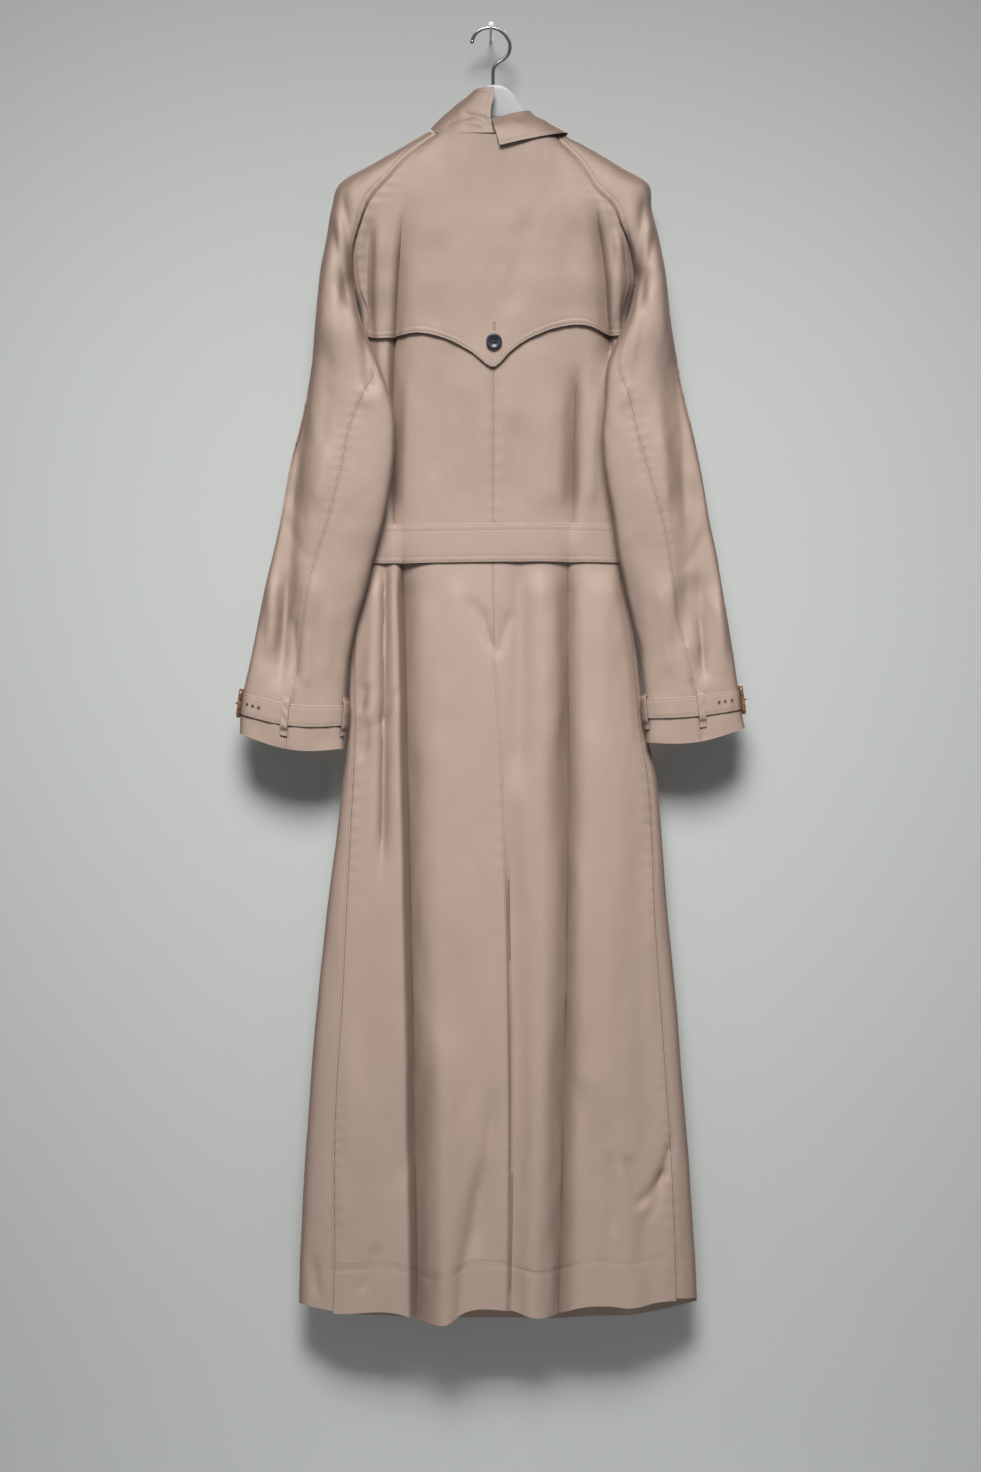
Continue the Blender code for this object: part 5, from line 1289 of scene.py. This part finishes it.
def solid_piece(name, points, sides, finish, slot, node=None, angle=40, **closing):
    """A closed piece from rings of points, in its solid's place if it has one."""
    faces = tube_faces(len(points) // sides, sides, **closing)
    piece = mesh_piece(name, points, faces, finish, angle)
    if node:
        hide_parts(node)


def fuller(value, power):
    """A cosine or sine drawn outwards, for a section between round and square."""
    return math.copysign(abs(value) ** power, value)


def bent_bar(node, centre, across, up, size, radius, corner):
    """A closed bar bent to a rectangle with round corners."""
    across, up = np.asarray(across, dtype=float), np.asarray(up, dtype=float)
    out = np.cross(across, up)
    wide, high = (length / 2 - radius - corner for length in size)
    points = []
    for quarter, (sx, sy) in enumerate(((1, 1), (-1, 1), (-1, -1), (1, -1))):
        for turn in (quarter + np.linspace(0, 1, 10)) * math.pi / 2:
            ray = across * math.cos(turn) + up * math.sin(turn)
            spot = centre + across * sx * wide + up * sy * high + ray * corner
            points += [spot + radius * (ray * fuller(c, 0.8) + out * fuller(s, 0.8)) for c, s in circle(14)]
    solid_piece(node, points, 14, tortoise, "tortoise", node, looped=True, flipped=True)


def round_bar(path, radii, sides=14):
    """Rings of points round a bar along a path, with its own radius at each point."""
    path = np.asarray(path, dtype=float)
    ahead = unit(np.gradient(path, axis=0))
    side_ray = np.cross(ahead[0], (0.31, 0.17, 0.93))
    points = []
    for spot, forward, radius in zip(path, ahead, radii):
        side_ray = unit(side_ray - forward * np.dot(side_ray, forward))
        up = np.cross(forward, side_ray)
        points += [spot + radius * (side_ray * c + up * s) for c, s in circle(sides)]
    return points


low, high = solid_box("belt_buckle")
bent_bar("belt_buckle", (low + high) / 2, (1, 0, 0), (0, 0, 1), BELT_BUCKLE, BELT_BAR, 7.0)
low, high = solid_box("belt_prong")
steps = np.linspace(0, 1, 13)
path = [(mix(low[0], high[0], step), (low[1] + high[1]) / 2, (low[2] + high[2]) / 2) for step in steps]
points = round_bar(path, PRONG_BAR * np.sqrt(np.clip(1 - (2 * steps - 1) ** 12, 0.15, 1)))
solid_piece("belt_prong", points, 14, tortoise, "tortoise", "belt_prong")

# The cuff straps
# A narrow stitched strap round each cuff, held by cloth keepers. Its buckled end sits at the
# outer edge, with thread-worked holes beside it, and one keeper has been left crumpled.
STRAP_WALL = 1.6
STRAP_SHELL = 1.3
STRAP_CLEAR = CLOTH / 2 + STRAP_WALL / 2 + 0.5
STRAP_MIDDLE = (STRAP_TOP + STRAP_BOTTOM) / 2
STRAP_STITCHES = (0.1, 0.9)      # parts of the strap's width
EYELETS = {"left": (0.50, 0.68, 0.86), "right": (0.62, 0.82, 1.0)}
# A keeper: the arm's rows that it passes and how far clear of the cuff it is there
LOOP = ((18.50, 2.0), (18.72, 2.3), (18.88, 4.4), (19.15, 4.9), (19.5, 5.0), (19.85, 4.9),
        (20.10, 4.4), (20.26, 2.3), (20.46, 2.0))
LOOP_SHELL = 1.1
# Each keeper's side, turn round the arm, half its width as a turn, and how crumpled it is
LOOPS = {"cuff_loop_left_back": ("left", 1.42, 0.07, 1.0),
         "cuff_loop_left_inner": ("left", 3.02, 0.26, 0.35),
         "cuff_loop_right_back": ("right", 1.40, 0.07, 0.35),
         "cuff_loop_right_inner": ("right", 3.02, 0.26, 0.35)}


def plain_finish(name, colour, rough, metallic=0.0, coat=0.0):
    """A finish that is the same all over."""
    return new_material(name, {"Base Color": (*colour, 1), "Roughness": rough, "Metallic": metallic,
                               "Coat Weight": coat})[0]


# Near-black for the eyelets' holes: painted shade where the cuff lies behind them
hole_painted_shade = plain_finish("hole_painted_shade", (0.03, 0.022, 0.018), 0.9)


def strap_point(side, row, turn, clear):
    """A point clear of the cuff's middle surface, with the direction outwards there."""
    ahead = arm_point(side, row, turn + 0.15) - arm_point(side, row, turn - 0.15)
    down = arm_point(side, row + 0.2, turn) - arm_point(side, row - 0.2, turn)
    spot = arm_point(side, row, turn)
    normal = unit(np.cross(ahead, down))
    if np.dot(normal, spot - arm_middle(side, row)) < 0:
        normal = -normal
    return spot + normal * clear, normal


def frame_along(axis):
    """An axis with two directions square to it, aside and up."""
    axis = unit(np.asarray(axis, dtype=float))
    aside = unit(np.cross(axis, (0, 0, 1.0)))
    return axis, aside, np.cross(aside, axis)


for side in ("left", "right"):
    parts = np.concatenate(([0, 0.025, 0.06, 0.1], np.linspace(0.14, 0.86, 13), [0.9, 0.94, 0.975, 1.0]))
    rows = mix(STRAP_TOP, STRAP_BOTTOM, parts)
    seam = arm_seam(side, STRAP_MIDDLE)
    turns = np.concatenate((np.linspace(0, seam, 90), np.linspace(seam, 2 * math.pi, 91)[1:]))
    grid = np.array([arm_point(side, row, turns) for row in rows])
    pairs = np.array([(arm_point(side, row, -NEAR), arm_point(side, row, NEAR)) for row in rows])
    inside = np.array([arm_middle(side, row) for row in rows])
    normal = normals_of(grid, inside, pairs, pairs)
    middle = pull_in(grid + normal * STRAP_CLEAR, SEAM, SEAM)
    down = parts[:, None] + 0 * middle[..., 0]
    relief = unevenness(middle, 9, 30, 0.7, 61.0 + len(side))
    relief = relief - drawn_in(down, STRAP_STITCHES, 0.3, 0.035) - drawn_in(down, (0, 1), 0.4, 0.03)
    shown = middle + normal * relief[..., None]
    lay_cloth("coat_cuff_strap_" + side, "cuff_strap_" + side, shown, normal, STRAP_SHELL)
    runs = [run_along(shown, normal, nearest(parts, place), 3, STRAP_SHELL / 2) for place in STRAP_STITCHES]
    sew("strap_stitches_" + side, runs, thread, 3.2, 2.3, 0.45)

    # Thread-worked holes along the strap's middle, each with a near-black disc of painted shade in it
    for number, turn in enumerate(EYELETS[side]):
        at = (len(parts) // 2, nearest(turns, turn))
        out, aside, up = frame_along(normal[at])
        spot = shown[at] + out * (STRAP_SHELL / 2 + 0.05)
        rays = [aside * c + up * s for c, s in circle(24)]
        points = [spot + ray * (1.9 + 0.55 * c) + out * 0.35 * s for ray in rays for c, s in circle(6)]
        solid_piece("eyelet_%s_%d" % (side, number), points, 6, thread, "trench_cloth", looped=True)
        # A near-black disc inside the ring: the hole's painted shade
        points = [spot + ray * 1.5 + out * level for level in (0.02, -0.3) for ray in rays]
        solid_piece("eyelet_hole_%s_%d" % (side, number), points, 24, hole_painted_shade, "dark_button", flipped=True)

for name, (side, turn, half, crumple) in LOOPS.items():
    across = np.linspace(-1, 1, 13)
    pairs = np.array([[strap_point(side, row, turn + half * place, clear) for place in across]
                      for row, clear in LOOP])
    middle = soft_between(pairs[:, :, 0], 49)
    outward = soft_between(pairs[:, :, 1], 49)
    faced = unit(np.cross(np.gradient(middle, axis=1), np.gradient(middle, axis=0)))
    if np.sum(faced * outward) < 0:
        faced = -faced
    relief = crumple * (0.5 * np.sin(middle[..., 2] / 2.1 + across[None] * 2.2)) * (1 - across[None] ** 2)
    relief = relief * np.sin(np.linspace(0, math.pi, 49))[:, None] - 0.25 * across[None] ** 6
    shown = middle + faced * relief[..., None]
    lay_cloth("coat_" + name, name, shown, faced, LOOP_SHELL)

# The cuff buckles
# Small framed buckles of the same tortoiseshell plastic at the outer edges of the cuffs,
# each with a prong across its frame, done up over the strap.
BUCKLE = (24.0, 34.0)
BUCKLE_BAR = 2.1
CUFF_PRONG_BAR = 1.1


def buckle_place(side, sign):
    """The middle of a cuff's buckle, just clear of cuff and strap at the outer edge, and
    the cuff's lean there."""
    middle = arm_point(side, STRAP_MIDDLE, 0.0)
    step = arm_point(side, STRAP_TOP, 0.0) - arm_point(side, STRAP_BOTTOM, 0.0)
    slope = step[0] / step[2]
    outward = []
    for turn in np.linspace(-0.9, 0.9, 37):
        strap = strap_point(side, STRAP_MIDDLE, turn, STRAP_CLEAR + STRAP_WALL / 2)[0]
        aside = abs(strap[1] - middle[1])
        spots = [strap_point(side, row, turn, CLOTH / 2)[0] for row in (18.95, 20.1)]
        if BUCKLE[0] / 2 - 2 * BUCKLE_BAR < aside < BUCKLE[0] / 2:
            spots.append(strap)
        outward += [(spot[0] - slope * (spot[2] - middle[2])) * sign for spot in spots]
    x = sign * (max(outward) + BUCKLE_BAR + 0.35)
    return np.array((x, middle[1], middle[2])), slope


for side, sign in (("left", -1), ("right", 1)):
    place, slope = buckle_place(side, sign)
    lean = unit(np.array((slope, 0, 1.0)))
    bent_bar("cuff_buckle_" + side, place, (0, 1, 0), lean, BUCKLE, BUCKLE_BAR, 6.0)
    along = np.linspace(-14, 9.9, 17)
    off = np.interp(along, (-14, -9.9, -3, 4, 9.9), (2.8, 3.6, 4.0, 4.0, 3.6))
    path = [place + np.array((sign * out, forward, 0)) for forward, out in zip(along, off)]
    radii = CUFF_PRONG_BAR * np.sqrt(np.clip(1 - np.linspace(-1, 1, 17) ** 10, 0.2, 1))
    name = "cuff_prong_" + side
    solid_piece(name, round_bar(path, radii, 12), 12, tortoise, "tortoise", name)

# The buttons
# Dark moulded buttons with a raised rim and four holes, sewn through with dark thread: a
# small one on the yoke's point and eight larger ones down the double-breasted front.
button_dark = plain_finish("dark_button", (0.028, 0.034, 0.05), 0.34, 0.0, 0.3)
button_thread = plain_finish("button_thread", (0.02, 0.022, 0.03), 0.8)
YOKE_BUTTON = (18.0, 3.4)
FRONT_BUTTON = (24.0, 3.6)
# How thick a button is at parts of its radius
BUTTON_PROFILE = ((0.0, 0.30, 0.44, 0.58, 0.68, 0.78, 0.88, 0.96, 1.0),
                  (0.50, 0.52, 0.56, 0.66, 0.93, 1.0, 0.98, 0.82, 0.55))
HOLE_REACH = 0.145               # from the button's middle, as a part of its width
HOLE_RADIUS = 0.062


def sewn_button(name, foot, axis, width, thick, rings, sides):
    """A button: a turned body with four holes sunk in its dished middle, and two crossed
    threads through them."""
    axis, aside, up = frame_along(axis)
    radius = width / 2
    holes = [HOLE_REACH * width * np.array((math.cos(turn), math.sin(turn)))
             for turn in np.radians((45, 135, 225, 315))]
    points = []
    for part in np.arange(rings + 1) / rings:
        for c, s in circle(sides):
            x, z = part * radius * c, part * radius * s
            rise = thick * float(np.interp(part, *BUTTON_PROFILE))
            for hx, hz in holes:
                gap = math.hypot(x - hx, z - hz) / (HOLE_RADIUS * width)
                rise -= thick * 0.38 * float(ease(1.25, 0.8, gap))
            points.append(foot + aside * x + up * z + axis * max(rise, 0.25))
    for part, rise in ((0.97, 0.6), (0.8, 0.0)):
        points += [foot + (aside * c + up * s) * part * radius + axis * rise for c, s in circle(sides)]
    solid_piece(name, points, sides, button_dark, "dark_button", name, 50)
    steps = np.linspace(-1, 1, 9)
    points = []
    for hx, hz in holes[:2]:
        ray = aside * hx + up * hz
        path = [foot + ray * s + axis * (thick * (0.53 - 0.2 * s ** 8) + 0.15) for s in steps]
        points += round_bar(path, np.full(len(steps), width * 0.022), 8)
    faces = tube_faces(len(steps), 8) + tube_faces(len(steps), 8, start=len(points) // 2)
    mesh_piece(name.replace("button", "button_thread"), points, faces, button_thread, 40)


low, high = solid_box("yoke_button")
foot = np.array(((low[0] + high[0]) / 2, high[1], (low[2] + high[2]) / 2))
sewn_button("yoke_button", foot, (0, -1, 0), *YOKE_BUTTON, 34, 80)
for number in range(1, 9):
    name = "front_button_%d" % number
    low, high = solid_box(name)
    foot = np.array(((low[0] + high[0]) / 2, low[1], (low[2] + high[2]) / 2))
    sewn_button(name, foot, (0, 1, 0), *FRONT_BUTTON, 26, 56)

# The hanger
# A pale grey moulded hanger: a flat bar with eased edges that humps up in the middle, and
# slopes down inside the shoulders. Only its hump shows between the collar halves.
hanger_plastic = plain_finish("hanger_plastic", (0.52, 0.52, 0.54), 0.45)
HANGER_Y = -34.0
HANGER_MIDDLE_X = 5.5
HANGER_WALL = 8.0
# Offset from the middle, upper edge, and depth straight down: the middle is a solid web
HANGER_EDGE = ((0, -58.8, 38), (8, -59.8, 38), (14, -63, 37), (20, -69, 35), (27, -79.5, 31),
               (34, -91.5, 26), (42, -102, 21), (75, -118.6, 17), (107, -134.4, 17),
               (141, -154.2, 17), (172, -173.6, 17))
edge = np.array([(HANGER_MIDDLE_X + sign * x, z, deep) for sign, rows in
                 ((-1, HANGER_EDGE[::-1]), (1, HANGER_EDGE[1:])) for x, z, deep in rows], dtype=float)
steps = np.concatenate(([0], np.cumsum(np.hypot(*np.diff(edge[:, :2], axis=0).T))))
line = np.stack([smooth(steps, values, np.linspace(0, steps[-1], 150)) for values in edge.T], axis=-1)
points = [(x, HANGER_Y + HANGER_WALL / 2 * fuller(s, 0.45), top - deep / 2 * (1 + fuller(c, 0.3)))
          for x, top, deep in line for c, s in circle(24)]
solid_piece("hanger_body", points, 24, hanger_plastic, "hanger_plastic", "hanger_body")

# The hook
# Plated steel wire, bent over at the top and finished with a small ball at its tip.
steel = plain_finish("steel", (0.36, 0.36, 0.36), 0.24, 1.0)
WIRE = 3.8                       # diameter
BALL = 2.35                      # radius
# The middle of the wire in x and z, from the tip over the nail to the hanger
HOOK = ((-21.0, -9.5), (-19.5, -4.5), (-15.5, 1.0), (-9.0, 5.0), (0.4, 6.6), (9.5, 4.2), (16.5, -1.5),
        (21.0, -8.5), (22.2, -16.0), (20.0, -24.0), (14.0, -30.0), (7.5, -34.5), (3.8, -39.5),
        (2.9, -46.0), (2.9, -58.4))
turn = np.linspace(0, len(HOOK) - 1, 150)
x, z = (smooth(np.arange(len(HOOK)), values, turn) for values in zip(*HOOK))
path = np.stack((x, np.full(len(turn), HANGER_Y), z), axis=-1)
points = round_bar(path, np.full(len(turn), WIRE / 2), 18)
solid_piece("hanger_hook", points, 18, steel, "steel", "hanger_hook")
points = [path[0] + BALL * np.array((math.sin(lat) * c, math.sin(lat) * s, math.cos(lat)))
          for lat in np.linspace(0, math.pi, 13)[1:-1] for c, s in circle(18)]
solid_piece("hook_ball", points, 18, steel, "steel", flipped=True)

# The wall nail
# A thin nail driven in at a slight upward slant, with a small white painted head.
nail_paint = plain_finish("nail_paint", (0.82, 0.82, 0.81), 0.4)
NAIL_SHANK = 2.6
NAIL_HEAD = 6.4
NAIL_LENGTH = 60.0
NAIL_RISE = 5.6                  # how far the head lies above the end in the wall
reach = math.hypot(NAIL_LENGTH, NAIL_RISE)
axis = unit(np.array((0.8, -NAIL_LENGTH, NAIL_RISE)))
profile = ((0, NAIL_SHANK), (reach - 1.8, NAIL_SHANK), (reach - 1.5, NAIL_HEAD * 0.9),
           (reach - 1.1, NAIL_HEAD), (reach - 0.5, NAIL_HEAD * 0.96), (reach - 0.15, NAIL_HEAD * 0.75),
           (reach, NAIL_HEAD * 0.4))
points = round_bar([axis * along for along, _ in profile], [wide / 2 for _, wide in profile], 24)
solid_piece("wall_nail", points, 24, nail_paint, "nail_paint", "wall_nail")

# The room
# A plain pale wall behind the coat and a plain pale floor well below it, both only stage.
# The wall is seen through from behind.
WALL_Y = 0.0006
FLOOR_Z = -1.72


def stage_board(name, corners, colour):
    """A flat painted board that only shows the coat off."""
    made, shader = new_material(name + "_paint", {"Base Color": (*colour, 1), "Roughness": 0.9,
                                                  "Specular IOR Level": 0.1})
    mesh = bpy.data.meshes.new(name)
    mesh.from_pydata(corners, [], [(0, 1, 2, 3)])
    mesh.materials.append(made)
    board = bpy.data.objects.new(name, mesh)
    bpy.context.scene.collection.objects.link(board)
    return board, made.node_tree, shader


corners = [(-4, WALL_Y, FLOOR_Z), (4, WALL_Y, FLOOR_Z), (4, WALL_Y, 2.2), (-4, WALL_Y, 2.2)]
wall, tree, shader = stage_board("wall", corners, (0.50, 0.52, 0.515))
clear = add_node(tree, "BsdfTransparent")
facing = add_node(tree, "NewGeometry")
blend = add_node(tree, "MixShader", {}, {0: facing.outputs["Backfacing"], 1: shader.outputs[0],
                                         2: clear.outputs[0]})
tree.links.new(blend.outputs[0], tree.nodes["Material Output"].inputs["Surface"])
wall.visible_shadow = wall.visible_diffuse = wall.visible_glossy = False
corners = [(-5, -6, FLOOR_Z), (5, -6, FLOOR_Z), (5, 6, FLOOR_Z), (-5, 6, FLOOR_Z)]
stage_board("floor", corners, (0.62, 0.63, 0.625))

# The light
# A large soft light above and in front, a soft one behind the wall's place for the views
# from the back, and a weak pale sky all round.


def soft_light(name, place, target, size, power, tone=(1, 1, 1)):
    """A rectangular light that faces a point."""
    data = bpy.data.lights.new(name, "AREA")
    data.shape = "RECTANGLE"
    data.size, data.size_y = size
    data.energy = power
    data.color = tone
    made = bpy.data.objects.new(name, data)
    bpy.context.scene.collection.objects.link(made)
    made.location = place
    made.rotation_euler = (Vector(place) - Vector(target)).to_track_quat("Z", "Y").to_euler()
    return made


above = soft_light("light_above", (-0.1, -2.0, 1.5), (0, 0, -0.86), (1.8, 1.0), 12, (1.0, 0.99, 0.975))
above.data.spread = math.radians(40)
soft_light("light_behind", (0.3, 3.0, 1.4), (0, 0, -0.62), (1.6, 1.0), 50)
world = bpy.data.worlds.new("studio")
world.use_nodes = True
world.node_tree.nodes["Background"].inputs["Color"].default_value = (0.93, 0.96, 1.0, 1)
world.node_tree.nodes["Background"].inputs["Strength"].default_value = 0.18
bpy.context.scene.world = world
bpy.context.scene.view_settings.view_transform = "Standard"

# The camera
# Level with the middle of the picture, square to the wall, four metres away.
VIEW_DISTANCE = 4.07
VIEW_HEIGHT = -0.801
data = bpy.data.cameras.new("camera")
data.lens = 86.57
data.sensor_width = 36.0
data.clip_end = 60
camera = bpy.data.objects.new("camera", data)
camera.location = (0.0, -VIEW_DISTANCE, VIEW_HEIGHT)
camera.rotation_euler = (math.pi / 2, 0, 0)
bpy.context.scene.collection.objects.link(camera)
bpy.context.scene.camera = camera
